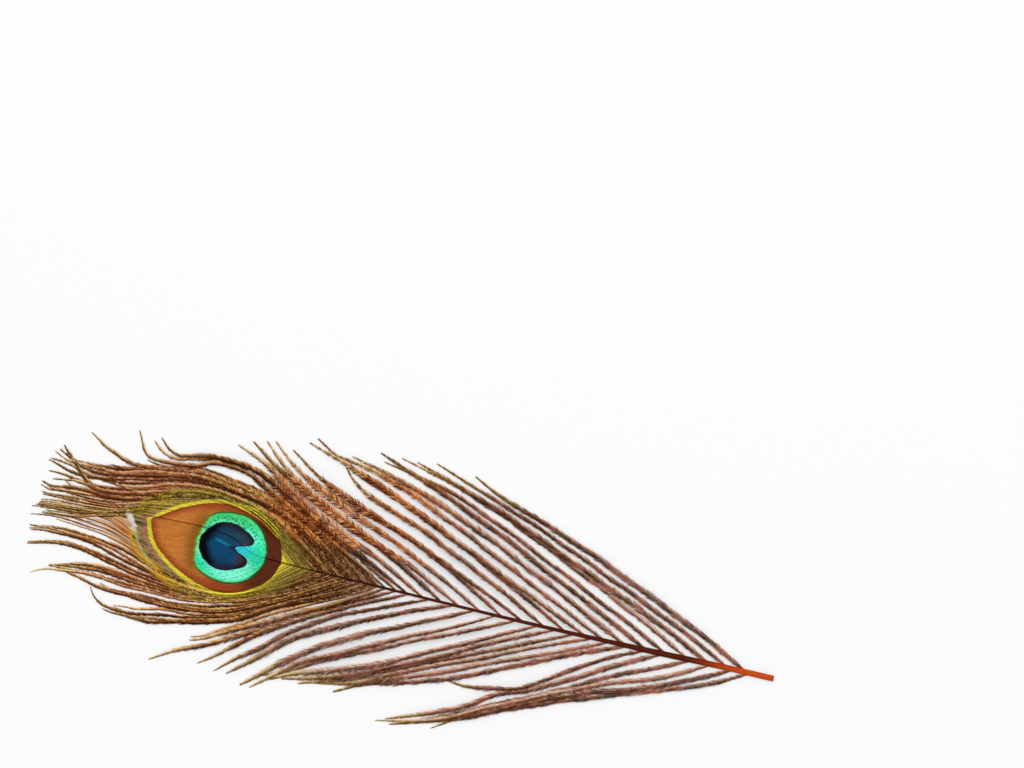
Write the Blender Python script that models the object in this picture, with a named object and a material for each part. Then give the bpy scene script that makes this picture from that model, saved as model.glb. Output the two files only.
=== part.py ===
# Peacock eye feather, lying on a surface, as one closed solid in metres, +Z up.
# One grown piece: a tapering shaft, the flat eye vane at its far end, and the loose locks of
# barbs that leave both of them. Everything is fused into the one object "feather".
#
# Plan measures are millimetres from the cut end of the quill: x is negative towards the eye,
# y is across the feather, z is the height above the surface it lies on. The last step moves
# the middle of the feather's outline to the origin.

import math

import bpy
import bmesh
from mathutils import Vector

# Driving sizes, in millimetres
FEATHER_LENGTH = 281.3
FEATHER_MIDDLE_Y = -1.0
QUILL_WIDTH = 2.2
QUILL_FLAT_LENGTH = 45.0
SHAFT_CREST = 3.6
VANE_THICKNESS = 0.8
LOCK_WIDTH = 1.3
LOCK_THICKNESS = 0.6
LOCK_STEP = 10.0
TIP_HEIGHT = 0.42

# Part colours, linear
SHAFT_COLOUR = (0.16, 0.035, 0.012, 1.0)
BARB_COLOUR = (0.20, 0.085, 0.045, 1.0)
VANE_COLOUR = (0.33, 0.14, 0.04, 1.0)

# Facets of the shaft, flat side down, and the height of its axis as a share of its radius
SHAFT_SIDES = 8
SHAFT_SEAT = math.cos(math.pi / SHAFT_SIDES)

MM = 0.001
WELD = 0.000001

# The shaft's centre line in plan and its width: (x, y, width)
SHAFT_LINE = (
    (0.0, -0.5, QUILL_WIDTH),
    (-20.0, -0.6, QUILL_WIDTH),
    (-QUILL_FLAT_LENGTH, -1.1, QUILL_WIDTH),
    (-63.0, -1.2, 1.7),
    (-82.0, -1.3, 1.45),
    (-108.0, -1.3, 1.25),
    (-135.0, -1.3, 1.05),
    (-160.0, -1.2, 0.95),
    (-180.0, -1.0, 0.85),
    (-197.0, -0.2, 0.75),
    (-204.0, 3.0, 0.7),
    (-212.0, 4.9, 0.65),
    (-225.0, 5.2, 0.6),
    (-243.0, 4.4, 0.5),
)

# Outline of the eye vane, where the barbs hold together
VANE_OUTLINE = (
    (-146.0, -1.2), (-153.0, -5.0), (-164.0, -10.4), (-176.0, -15.8), (-188.0, -20.4),
    (-200.0, -23.4), (-214.0, -24.6), (-228.0, -24.2), (-238.0, -21.4), (-244.0, -16.0),
    (-246.0, -9.0), (-248.0, -3.0), (-254.0, 0.4), (-262.0, 1.4), (-265.0, 5.0),
    (-263.0, 10.6), (-265.0, 16.2), (-261.0, 17.8), (-250.0, 19.6), (-238.0, 23.4),
    (-224.0, 25.6), (-210.0, 25.2), (-198.0, 22.4), (-186.0, 18.4), (-174.0, 13.0),
    (-162.0, 7.0), (-153.0, 2.6),
)

# Loose barbs below the shaft, each a lock from its root to its tip
LOWER_LOCKS = (
    ((-9, -0.7), (-26, -9.4), (-50, -18.0), (-75, -27.2), (-95, -35.4), (-110, -42.0), (-118.6, -47.5)),
    ((-15, -0.7), (-30, -8.2), (-48, -15.8), (-68, -22.4), (-90, -32.2), (-108, -41.0), (-134, -49.8)),
    ((-24, -1.0), (-40, -9.4), (-60, -16.6), (-80, -25.6), (-100, -35.2), (-118, -44.2), (-139.4, -49.6)),
    ((-31, -1.0), (-45, -7.6), (-60, -14.4), (-76, -23.2), (-95, -32.3), (-112, -40.8), (-129, -48.0)),
    ((-42, -1.2), (-55, -7.7), (-70, -16.3), (-85, -24.6), (-98, -29.8), (-112, -38.6), (-136, -48.2)),
    ((-48, -1.2), (-60, -6.4), (-75, -15.5), (-90, -25.2), (-100, -27.9), (-110, -29.5), (-116.9, -29.2)),
    ((-55, -1.2), (-70, -7.2), (-90, -16.2), (-110, -25.6), (-130, -33.0), (-146, -37.2), (-157.0, -42.9)),
    ((-62, -1.2), (-80, -9.3), (-100, -17.6), (-120, -26.5), (-140, -34.2), (-152, -38.4), (-163.9, -41.3)),
    ((-68, -1.2), (-85, -7.9), (-105, -16.9), (-125, -25.6), (-140, -32.6), (-148, -36.4), (-157.0, -40.2)),
    ((-75, -1.2), (-90, -8.0), (-110, -17.2), (-130, -26.3), (-145, -33.6), (-158, -38.6), (-170.2, -42.8)),
    ((-82, -1.2), (-100, -9.3), (-120, -19.8), (-140, -29.7), (-155, -36.2), (-167, -40.1), (-176.7, -42.6)),
    ((-89, -1.2), (-105, -9.3), (-125, -19.4), (-145, -29.5), (-160, -35.3), (-172, -39.4), (-181.0, -43.8)),
    ((-97, -1.2), (-115, -9.7), (-135, -18.8), (-150, -26.1), (-165, -33.2), (-175, -39.1), (-184.4, -43.3)),
    ((-105, -1.2), (-120, -9.3), (-140, -18.8), (-160, -29.4), (-172, -35.4), (-180, -42.0), (-187.6, -48.4)),
    ((-113, -1.2), (-130, -9.3), (-150, -18.8), (-165, -27.2), (-177, -35.8), (-185, -42.9), (-191.2, -48.3)),
    ((-121, -1.2), (-140, -8.9), (-160, -18.6), (-175, -26.6), (-184, -34.0), (-191, -40.3), (-197.0, -45.3)),
    ((-130, -1.2), (-150, -9.7), (-165, -16.7), (-178, -25.3), (-187, -33.2), (-195, -39.3), (-201.8, -45.5)),
    ((-138, -1.2), (-155, -9.0), (-170, -16.7), (-185, -25.6), (-196, -34.2), (-203, -40.2), (-208.2, -44.1)),
    ((-143, -1.2), (-160, -10.0), (-178, -20.4), (-193, -29.4), (-206, -36.6), (-217, -41.4), (-226.0, -46.8)),
    ((-147, -1.2), (-165, -11.6), (-182, -20.6), (-193, -26.4), (-203, -31.8), (-208, -34.6), (-212.9, -36.6)),
    ((-151, -1.2), (-168, -10.6), (-184, -19.4), (-204, -28.0), (-222, -32.3), (-236, -33.6), (-246.6, -33.2)),
    ((-156, -1.2), (-174, -11.4), (-192, -21.4), (-212, -27.6), (-228, -30.2), (-248, -31.2), (-253.3, -26.2)),
    ((-162, -1.2), (-180, -10.8), (-198, -20.8), (-216, -25.4), (-234, -26.0), (-250, -24.9), (-267.5, -21.4)),
)

# Barbs that run past the lower side of the eye
LOWER_SWEEPS = (
    ((-200, -19.0), (-216, -21.8), (-234, -22.4), (-250, -21.8), (-264, -22.2), (-276.2, -26.0)),
    ((-206, -17.0), (-222, -20.2), (-238, -18.9), (-252, -18.0), (-262, -19.0), (-269.8, -21.6)),
    ((-214, -15.0), (-230, -17.8), (-242, -16.4), (-254, -13.2), (-266, -12.4), (-279.8, -15.0)),
    ((-226, -12.0), (-240, -13.0), (-250, -11.0), (-260, -8.6), (-270, -8.6), (-280.0, -10.2)),
    ((-230, -6.0), (-242, -7.4), (-252, -5.8), (-261, -4.3), (-271, -3.9), (-281.0, -5.2)),
    ((-232, -2.0), (-242, -4.4), (-252, -1.6), (-262, -1.2), (-270, -2.2), (-277.0, -2.6)),
)

# Loose barbs above the shaft
UPPER_LOCKS = (
    ((-10, -0.7), (-28, 8.0), (-52, 18.2), (-78, 28.8), (-98, 36.0), (-114, 41.6), (-124, 46.4)),
    ((-17, -0.7), (-34, 7.6), (-56, 17.0), (-78, 26.0), (-100, 34.6), (-120, 41.4), (-139, 47.8)),
    ((-24, -1.0), (-42, 8.0), (-62, 16.6), (-84, 25.6), (-104, 33.6), (-122, 39.6), (-146, 46.6)),
    ((-32, -1.0), (-48, 6.8), (-66, 14.8), (-86, 23.4), (-108, 32.8), (-130, 41.0), (-152, 46.8)),
    ((-40, -1.2), (-56, 6.6), (-74, 14.6), (-94, 23.6), (-114, 32.2), (-134, 39.4), (-158, 44.0)),
    ((-48, -1.2), (-64, 6.8), (-84, 16.2), (-104, 25.6), (-124, 34.0), (-142, 40.6), (-160, 46.8)),
    ((-56, -1.2), (-74, 6.8), (-94, 15.6), (-114, 24.4), (-134, 32.4), (-152, 38.4), (-170, 43.2)),
    ((-64, -1.2), (-82, 7.0), (-102, 16.0), (-122, 25.0), (-142, 33.4), (-160, 39.4), (-178, 42.6)),
    ((-71, -1.2), (-88, 6.6), (-108, 15.6), (-128, 24.4), (-148, 32.6), (-166, 38.8), (-186.4, 44.4)),
    ((-79, -1.2), (-96, 7.0), (-116, 16.4), (-136, 25.2), (-156, 33.2), (-172, 39.6), (-184, 46.6)),
    ((-87, -1.2), (-104, 7.4), (-122, 15.6), (-140, 23.4), (-158, 29.4), (-167, 34.2), (-171.6, 38.8)),
    ((-95, -1.2), (-112, 7.2), (-130, 15.2), (-148, 22.2), (-166, 28.2), (-180, 33.6), (-192, 40.4)),
    ((-103, -1.2), (-120, 7.4), (-138, 15.8), (-154, 21.6), (-170, 25.6), (-180, 29.6), (-187.6, 33.2)),
    ((-111, -1.2), (-128, 7.4), (-144, 14.6), (-160, 21.0), (-176, 27.0), (-190, 34.8), (-199, 42.0)),
    ((-119, -1.2), (-136, 7.6), (-150, 13.6), (-166, 19.8), (-180, 25.8), (-192, 32.8), (-202, 41.2)),
    ((-126, -1.2), (-142, 7.0), (-156, 13.2), (-170, 19.0), (-184, 25.2), (-195, 31.6), (-207, 40.0)),
    ((-133, -1.2), (-150, 7.6), (-164, 13.4), (-178, 19.6), (-190, 26.2), (-200, 32.8), (-212, 37.6)),
    ((-140, -1.2), (-156, 7.0), (-174, 14.6), (-192, 24.2), (-208, 30.2), (-224, 30.0), (-240.6, 33.2)),
    ((-146, -1.2), (-162, 7.0), (-180, 15.2), (-198, 24.0), (-214, 28.4), (-236, 25.4), (-249, 34.2)),
)

# Barbs that run past the upper side of the eye
UPPER_SWEEPS = (
    ((-214, 20.0), (-230, 22.0), (-243, 22.0), (-254, 23.2), (-266, 29.8)),
    ((-224, 18.0), (-240, 20.6), (-254, 18.0), (-265, 17.2), (-276, 20.9)),
    ((-228, 15.0), (-244, 17.2), (-256, 15.2), (-267, 15.6), (-278.6, 17.0)),
    ((-232, 12.0), (-246, 13.6), (-258, 13.2), (-268, 14.0), (-279, 15.6)),
    ((-234, 9.0), (-248, 10.8), (-260, 10.6), (-278, 12.2)),
    ((-236, 7.0), (-248, 8.6), (-260, 8.4), (-278.6, 7.4)),
    ((-238, 5.0), (-250, 5.8), (-264, 5.2), (-278.2, 4.8)),
    ((-240, 4.4), (-252, 3.6), (-264, 2.6), (-278.4, 1.6)),
    ((-242, 3.6), (-254, 1.8), (-266, 0.4), (-281.3, -1.0)),
)


def clear_scene():
    for old in list(bpy.data.objects):
        bpy.data.objects.remove(old, do_unlink=True)


def new_collection(name):
    group = bpy.data.collections.new(name)
    bpy.context.scene.collection.children.link(group)
    return group


def make_material(name, colour, roughness):
    material = bpy.data.materials.new(name)
    material.use_nodes = True
    shader = material.node_tree.nodes["Principled BSDF"]
    shader.inputs["Base Color"].default_value = colour
    shader.inputs["Roughness"].default_value = roughness
    shader.inputs["Metallic"].default_value = 0.0
    return material


def read_between(table, x, column):
    # Value of a column at x, read along a table that runs from the quill to the tip
    if x >= table[0][0]:
        return table[0][column]
    for near, far in zip(table, table[1:]):
        if x >= far[0]:
            share = (near[0] - x) / (near[0] - far[0])
            return near[column] + share * (far[column] - near[column])
    return table[-1][column]


def shaft_height(x):
    # The shaft lies flat at the quill, arches towards the middle and comes down in the eye
    seat = read_between(SHAFT_LINE, x, 2) / 2 * SHAFT_SEAT
    arch_start = -QUILL_FLAT_LENGTH
    arch_end = -148.0
    if x > arch_start or x < arch_end:
        arch = 0.0
    else:
        share = (arch_start - x) / (arch_start - arch_end)
        arch = (SHAFT_CREST - seat) * math.sin(math.pi * share) ** 1.5
    rest_height = seat if x > arch_start else max(seat, VANE_THICKNESS)
    blend = min(1.0, max(0.0, (arch_start - x) / 30.0))
    return seat + (rest_height - seat) * blend + arch


def smooth_path(points, step):
    # Even points on a smooth curve through the given ones
    guide = [Vector(p) for p in points]
    guide = [2 * guide[0] - guide[1]] + guide + [2 * guide[-1] - guide[-2]]
    dense = []
    for a, b, c, d in zip(guide, guide[1:], guide[2:], guide[3:]):
        for i in range(12):
            t = i / 12
            dense.append(0.5 * (2 * b + (c - a) * t + (2 * a - 5 * b + 4 * c - d) * t ** 2
                                + (3 * b - a - 3 * c + d) * t ** 3))
    dense.append(guide[-2])
    lengths = [0.0]
    for here, there in zip(dense, dense[1:]):
        lengths.append(lengths[-1] + (there - here).length)
    count = max(4, round(lengths[-1] / step) + 1)
    path = []
    k = 0
    for i in range(count):
        target = lengths[-1] * i / (count - 1)
        while k < len(dense) - 2 and lengths[k + 1] < target:
            k += 1
        share = (target - lengths[k]) / (lengths[k + 1] - lengths[k])
        path.append(dense[k].lerp(dense[k + 1], share))
    return path


def profile_curve(name, outline, guides):
    # A closed cross-section that a tube follows, one unit across
    curve = bpy.data.curves.new(name, "CURVE")
    curve.dimensions = "2D"
    spline = curve.splines.new("POLY")
    spline.points.add(len(outline) - 1)
    for point, (across, up) in zip(spline.points, outline):
        point.co = (across * MM, up * MM, 0.0, 1.0)
    spline.use_cyclic_u = True
    guide = bpy.data.objects.new(name, curve)
    guide.display_type = "WIRE"
    guide.hide_render = True
    guides.objects.link(guide)
    return guide


def swept_mesh(name, path, sizes, profile, material, guides):
    # A tapering tube with filled ends along a path, as a welded mesh
    curve = bpy.data.curves.new(name, "CURVE")
    curve.dimensions = "3D"
    curve.twist_mode = "Z_UP"
    curve.bevel_mode = "OBJECT"
    curve.bevel_object = profile
    curve.use_fill_caps = True
    spline = curve.splines.new("POLY")
    spline.points.add(len(path) - 1)
    for point, place, size in zip(spline.points, path, sizes):
        point.co = (place[0] * MM, place[1] * MM, place[2] * MM, 1.0)
        point.radius = size
    return curve_to_mesh(name, curve, material, guides)


def curve_to_mesh(name, curve, material, guides):
    source = bpy.data.objects.new(name + " curve", curve)
    guides.objects.link(source)
    evaluated = source.evaluated_get(bpy.context.evaluated_depsgraph_get())
    mesh = bpy.data.meshes.new_from_object(evaluated)
    mesh.name = name
    solid = bpy.data.objects.new(name, mesh)
    solid.matrix_world = source.matrix_world.copy()
    bpy.data.objects.remove(source, do_unlink=True)
    work = bmesh.new()
    work.from_mesh(mesh)
    bmesh.ops.remove_doubles(work, verts=work.verts, dist=WELD)
    bmesh.ops.recalc_face_normals(work, faces=work.faces)
    work.to_mesh(mesh)
    work.free()
    mesh.materials.clear()
    mesh.materials.append(material)
    return solid


def make_shaft(profile, material, guides):
    path = []
    sizes = []
    for place in smooth_path([(x, y, width) for x, y, width in SHAFT_LINE], 9.0):
        width = read_between(SHAFT_LINE, place.x, 2)
        path.append((place.x, place.y, shaft_height(place.x)))
        sizes.append(width)
    return swept_mesh("feather", path, sizes, profile, material, guides)


def make_vane(material, guides):
    # The flat eye vane: a smooth filled outline, as thick as the barbs that make it
    curve = bpy.data.curves.new("eye vane", "CURVE")
    curve.dimensions = "2D"
    curve.fill_mode = "BOTH"
    curve.extrude = VANE_THICKNESS / 2 * MM
    spline = curve.splines.new("POLY")
    spline.points.add(len(VANE_OUTLINE) - 1)
    for point, (x, y) in zip(spline.points, VANE_OUTLINE):
        point.co = (x * MM, y * MM, 0.0, 1.0)
    spline.use_cyclic_u = True
    vane = curve_to_mesh("eye vane", curve, material, guides)
    vane.location.z = VANE_THICKNESS / 2 * MM
    return vane


def make_lock(name, points, root_height, lift, profile, material, guides):
    # One lock of barbs: it leaves at its root's height, lifts a little and comes down to its tip
    flat_path = smooth_path([(x, y, 0.0) for x, y in points], LOCK_STEP)
    path = []
    sizes = []
    for i, place in enumerate(flat_path):
        share = i / (len(flat_path) - 1)
        fall = root_height + (TIP_HEIGHT - root_height) * share ** 1.3
        path.append((place.x, place.y, fall + lift * math.sin(math.pi * share)))
        sizes.append(0.75 + 0.4 * math.sin(math.pi * min(1.0, share * 1.25)) - 0.35 * share ** 4)
    return swept_mesh(name, path, sizes, profile, material, guides)


def make_locks(profile, material, guides, locks):
    # Neighbours are lifted by turns, so that crossing locks lie over each other
    rows = (("lower lock", LOWER_LOCKS, 0.5), ("lower sweep", LOWER_SWEEPS, 0.1),
            ("upper lock", UPPER_LOCKS, 0.5), ("upper sweep", UPPER_SWEEPS, 0.1))
    for title, row, lift in rows:
        for i, points in enumerate(row):
            root_height = shaft_height(points[0][0]) if "lock" in title else VANE_THICKNESS / 2
            raised = lift * (1.0 + 1.1 * (i % 3))
            lock = make_lock(f"{title} {i + 1}", points, root_height, raised,
                             profile, material, guides)
            lock.display_type = "WIRE"
            lock.hide_render = True
            locks.objects.link(lock)


def fuse(shaft, locks):
    # The union is applied, so that the finished feather is one plain closed mesh
    union = shaft.modifiers.new("grown together", "BOOLEAN")
    union.operation = "UNION"
    union.operand_type = "COLLECTION"
    union.collection = locks
    union.solver = "EXACT"
    evaluated = shaft.evaluated_get(bpy.context.evaluated_depsgraph_get())
    mesh = bpy.data.meshes.new_from_object(evaluated)
    shaft.modifiers.remove(union)
    work = bmesh.new()
    work.from_mesh(mesh)
    bmesh.ops.translate(work, verts=work.verts,
                        vec=(FEATHER_LENGTH / 2 * MM, -FEATHER_MIDDLE_Y * MM, 0.0))
    work.to_mesh(mesh)
    work.free()
    shaft.data = mesh
    mesh.name = "feather"
    mesh.shade_smooth()
    mesh.set_sharp_from_angle(angle=math.radians(40))


def build_feather():
    clear_scene()
    feather_group = new_collection("peacock eye feather")
    guides = new_collection("guides")
    locks = new_collection("locks to fuse")
    shaft_material = make_material("shaft keratin", SHAFT_COLOUR, 0.35)
    barb_material = make_material("copper barbs", BARB_COLOUR, 0.55)
    vane_material = make_material("eye vane", VANE_COLOUR, 0.45)

    turn = 2 * math.pi / SHAFT_SIDES
    round_outline = [(math.cos(turn * (i + 0.5)) / 2, math.sin(turn * (i + 0.5)) / 2)
                     for i in range(SHAFT_SIDES)]
    flat_outline = [(math.cos(math.pi * i / 3) * LOCK_WIDTH / 2,
                     math.sin(math.pi * i / 3) * LOCK_THICKNESS / math.sqrt(3))
                    for i in range(6)]
    shaft_profile = profile_curve("shaft section", round_outline, guides)
    lock_profile = profile_curve("lock section", flat_outline, guides)

    shaft = make_shaft(shaft_profile, shaft_material, guides)
    feather_group.objects.link(shaft)
    vane = make_vane(vane_material, guides)
    vane.display_type = "WIRE"
    vane.hide_render = True
    locks.objects.link(vane)
    make_locks(lock_profile, barb_material, guides, locks)
    fuse(shaft, locks)


build_feather()
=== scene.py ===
import math
import random
from types import SimpleNamespace

import bpy
import bmesh
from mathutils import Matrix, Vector


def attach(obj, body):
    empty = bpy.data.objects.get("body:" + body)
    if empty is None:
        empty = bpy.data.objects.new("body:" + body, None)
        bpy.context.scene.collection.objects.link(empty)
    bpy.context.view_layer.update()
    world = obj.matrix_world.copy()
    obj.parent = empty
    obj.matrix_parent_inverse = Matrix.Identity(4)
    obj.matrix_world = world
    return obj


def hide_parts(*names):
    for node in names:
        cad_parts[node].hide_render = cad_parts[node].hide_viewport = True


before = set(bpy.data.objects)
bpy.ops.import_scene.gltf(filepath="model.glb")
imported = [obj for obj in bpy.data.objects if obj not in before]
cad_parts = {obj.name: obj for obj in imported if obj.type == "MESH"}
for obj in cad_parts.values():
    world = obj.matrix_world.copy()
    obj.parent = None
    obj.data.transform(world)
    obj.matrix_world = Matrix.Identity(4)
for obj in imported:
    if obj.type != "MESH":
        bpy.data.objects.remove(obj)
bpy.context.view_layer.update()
print("frame loaded")

mm = 0.001
middleX = -140.65  # middle of the feather's outline, in mm from the cut quill
middleY = -1.0
lowestPoint = 0.00003  # nothing lies closer to the surface than this, in metres
studioGain = 1.5  # how much brighter than its own colour a surface shows in this light


def linear(red, green, blue):
    # A colour as it should show on screen, 0 to 255, as the shader wants it
    def channel(value):
        value /= 255
        bare = value / 12.92 if value <= 0.04045 else ((value + 0.055) / 1.055) ** 2.4
        return bare / studioGain
    return (channel(red), channel(green), channel(blue), 1.0)


def shaderColours(colours):
    # Every colour of a dictionary, ready for the shader
    return SimpleNamespace(**{name: linear(*colour) for name, colour in colours.items()})


def between(value, start, end):
    # How far a value is on its way from start to end: 0 before, 1 after
    return min(1.0, max(0.0, (value - start) / (end - start)))


def inPairs(row):
    # A row that reads x, y, x, y as places
    return list(zip(row[::2], row[1::2]))


def rowPoint(x, y, z):
    # A place on the feather, in mm from the cut quill, as a place in the frame
    return Vector(((x - middleX) * mm, (y - middleY) * mm, z * mm))


# Camera, lights and floor

studio = {
    "cameraPlace": (0.02141, 0.08404, 0.8946),
    "cameraTurn": 13.4,
    "lens": 85.0,
    "sensorWidth": 36.0,
    "clipStart": 0.01,
    "floorSize": 6.0,
    "floorColour": (0.36, 0.36, 0.363, 1.0),
    "floorGlow": 0.4,
    "floorRoughness": 0.9,
    "floorSpecular": 0.1,
    "white": (1.0, 1.0, 1.0, 1.0),
    "skyStrength": 0.85,
    "keyPlace": (0.0, 1.0, 2.9),
    "keySize": 1.8,
    "keyPower": 78.0,
}


def aimAt(thing, target):
    thing.rotation_euler = (Vector(target) - thing.location).to_track_quat("-Z", "Y").to_euler()


def makeStudio(values):
    scene = bpy.context.scene
    scene.view_settings.view_transform = "Standard"
    camera = bpy.data.objects.new("camera", bpy.data.cameras.new("camera"))
    scene.collection.objects.link(camera)
    camera.location = values["cameraPlace"]
    camera.rotation_euler = (0.0, 0.0, math.radians(values["cameraTurn"]))
    camera.data.lens = values["lens"]
    camera.data.sensor_width = values["sensorWidth"]
    camera.data.clip_start = values["clipStart"]
    scene.camera = camera

    world = bpy.data.worlds.new("soft white room")
    world.use_nodes = True
    sky = world.node_tree.nodes["Background"]
    sky.inputs["Color"].default_value = values["white"]
    sky.inputs["Strength"].default_value = values["skyStrength"]
    scene.world = world

    lamp = bpy.data.lights.new("key", "AREA")
    lamp.shape = "DISK"
    lamp.size = values["keySize"]
    lamp.energy = values["keyPower"]
    key = bpy.data.objects.new("key", lamp)
    key.location = values["keyPlace"]
    scene.collection.objects.link(key)
    aimAt(key, (0.0, 0.0, 0.0))

    half = values["floorSize"] / 2
    mesh = bpy.data.meshes.new("floor")
    mesh.from_pydata([(-half, -half, 0), (half, -half, 0), (half, half, 0), (-half, half, 0)],
                     [], [(0, 1, 2, 3)])
    floor = bpy.data.objects.new("floor", mesh)
    scene.collection.objects.link(floor)
    paint = bpy.data.materials.new("white table")
    paint.use_nodes = True
    shader = paint.node_tree.nodes["Principled BSDF"]
    shader.inputs["Base Color"].default_value = values["floorColour"]
    shader.inputs["Emission Color"].default_value = values["white"]
    shader.inputs["Emission Strength"].default_value = values["floorGlow"]
    shader.inputs["Roughness"].default_value = values["floorRoughness"]
    shader.inputs["Specular IOR Level"].default_value = values["floorSpecular"]
    mesh.materials.append(paint)


makeStudio(studio)
print("camera, light and floor ready")


# Small helpers for node trees

class Signal:
    # The output of a node, ready for sums with other outputs and with numbers
    def __init__(self, socket):
        self.socket = socket

    def __add__(self, other):
        return maths("ADD", self, other)

    def __sub__(self, other):
        return maths("SUBTRACT", self, other)

    def __rsub__(self, other):
        return maths("SUBTRACT", other, self)

    def __mul__(self, other):
        return maths("MULTIPLY", self, other)

    def __truediv__(self, other):
        return maths("DIVIDE", self, other)

    def __abs__(self):
        return maths("ABSOLUTE", self)


def link(source, socket):
    source.socket.id_data.links.new(source.socket, socket)


def addNode(tree, kind, inputs=None, **settings):
    made = tree.nodes.new(kind)
    for key, value in settings.items():
        setattr(made, key, value)
    for key, value in (inputs or {}).items():
        if isinstance(value, Signal):
            link(value, made.inputs[key])
        else:
            made.inputs[key].default_value = value
    return made


def output(made, key=0):
    return Signal(made.outputs[key])


def treeOf(values):
    # The tree that the first output among the values belongs to
    return next(value.socket.id_data for value in values if isinstance(value, Signal))


def maths(operation, *values):
    return output(addNode(treeOf(values), "ShaderNodeMath", dict(enumerate(values)),
                          operation=operation))


def greater(first, second):
    return maths("MAXIMUM", first, second)


def stepUp(value, low, high):
    # 0 below low, 1 above high, smooth between
    return output(addNode(treeOf([value]), "ShaderNodeMapRange",
                          {"Value": value, "From Min": low, "From Max": high},
                          interpolation_type="SMOOTHSTEP"), "Result")


def stepDown(value, low, high):
    return 1.0 - stepUp(value, low, high)


def mixColour(factor, first, second, blend="MIX"):
    return output(addNode(treeOf([factor, first, second]), "ShaderNodeMix",
                          {0: factor, 6: first, 7: second}, data_type="RGBA", blend_type=blend), 2)


def mixValue(factor, first, second):
    return output(addNode(treeOf([factor, first, second]), "ShaderNodeMix",
                          {0: factor, 2: first, 3: second}, data_type="FLOAT"))


def painted(colour, *coats):
    # A colour with coats over it, each a mask and the colour that it lets through
    for mask, coat in coats:
        colour = mixColour(mask, colour, coat)
    return colour


def darken(colour, amount):
    return mixColour(1.0, colour, joinVector(amount, amount, amount), "MULTIPLY")


def colourRamp(factor, stops):
    made = addNode(treeOf([factor]), "ShaderNodeValToRGB", {"Fac": factor})
    elements = made.color_ramp.elements
    while len(elements) < len(stops):
        elements.new(0.5)
    for element, (place, colour) in zip(elements, stops):
        element.position = place
        element.color = colour
    return output(made, "Color")


def noise(vector, scale, detail=2.0, roughness=0.5):
    return output(addNode(treeOf([vector]), "ShaderNodeTexNoise",
                          {"Vector": vector, "Scale": scale, "Detail": detail,
                           "Roughness": roughness}), "Fac")


def curveNode(value, table):
    made = addNode(treeOf([value]), "ShaderNodeFloatCurve", {"Factor": 1.0, "Value": value})
    line = made.mapping.curves[0]
    while len(line.points) < len(table):
        line.points.new(0.5, 0.5)
    for point, place in zip(line.points, table):
        point.location = place
    made.mapping.update()
    return output(made)


def joinVector(x, y, z):
    return output(addNode(treeOf([x, y, z]), "ShaderNodeCombineXYZ", {0: x, 1: y, 2: z}))


def separate(vector):
    made = addNode(treeOf([vector]), "ShaderNodeSeparateXYZ", {0: vector})
    return [output(made, k) for k in range(3)]


def onFeather(place):
    # Where a place in the frame is along and across the feather, in mm from the cut quill
    x, y = separate(place)[:2]
    return x * (1 / mm) + middleX, y * (1 / mm) + middleY


def newGroup(name, family, inputs, outputs):
    # A node group with nothing in it yet: its tree, its inputs by name and its outputs
    tree = bpy.data.node_groups.new(name, family + "NodeTree")
    for title, kind, value in inputs:
        made = tree.interface.new_socket(title, in_out="INPUT", socket_type="NodeSocket" + kind)
        if value is not None:
            made.default_value = value
    for title, kind in outputs:
        tree.interface.new_socket(title, in_out="OUTPUT", socket_type="NodeSocket" + kind)
    given = tree.nodes.new("NodeGroupInput").outputs
    return (tree, {socket.name: Signal(socket) for socket in given},
            tree.nodes.new("NodeGroupOutput").inputs)


# The eye's pattern. Each border is a ring of places that read x, y, x, y, in mm

eyeBorders = {
    "heart": {
        "centre": (-209.5, 0.0),
        "points": (-218.3, 0, -217.9, 2.2, -216.4, 5, -214.4, 7, -212, 8.5, -209, 9.1, -205.6, 8.9,
                   -202.6, 7.6, -199.9, 6.2, -198.5, 4.6, -198.6, 3.2, -199.8, 2.2, -201.8, 1.7,
                   -203.6, 1.2, -204.8, 0.3, -203.9, -0.6, -202.4, -1.3, -200.6, -2, -199.3, -3.2,
                   -199.2, -4.4, -200.4, -5.9, -202.6, -7.2, -205.6, -8.4, -208.6, -8.9, -211.6,
                   -8.4, -214.6, -6.9, -216.9, -4.4, -218.1, -2),
    },
    "disc": {
        "centre": (-206.0, 0.0),
        "points": (-219.3, 0, -218.9, 2.6, -217.8, 6.4, -216.6, 9.2, -214.4, 11.2, -211, 12.3, -207,
                   12.8, -203, 12.5, -199.2, 10.9, -196, 8, -194, 4.5, -193, 0.5, -193.1, -2.2,
                   -194.5, -5.8, -197, -9.2, -200.5, -11.6, -204, -12.7, -208, -12.9, -212, -12.2,
                   -215.4, -10.8, -217.8, -8.9, -218.7, -6, -219.2, -3),
    },
    "egg": {
        "centre": (-208.0, 0.0),
        "points": (-237.4, 3.3, -236.9, 1.4, -236.2, -0.6, -235, -3.2, -233, -5.8, -230, -8.3, -225,
                   -11.6, -220, -14, -215, -15.8, -210, -16.8, -205, -16.8, -200, -15.4, -195,
                   -12.6, -191.6, -10.2, -189.6, -7.8, -188, -4.6, -187, -1, -187.4, 2, -188.6, 6.2,
                   -191.6, 8.4, -195, 10.6, -200, 13.2, -205, 14.8, -210, 15.5, -215, 15, -220,
                   13.6, -225, 11.5, -230, 8.8, -233.4, 6.4, -235.4, 4.8),
    },
}
borderReach = 40.0  # the largest radius that a border's curve can hold, in mm


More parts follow.
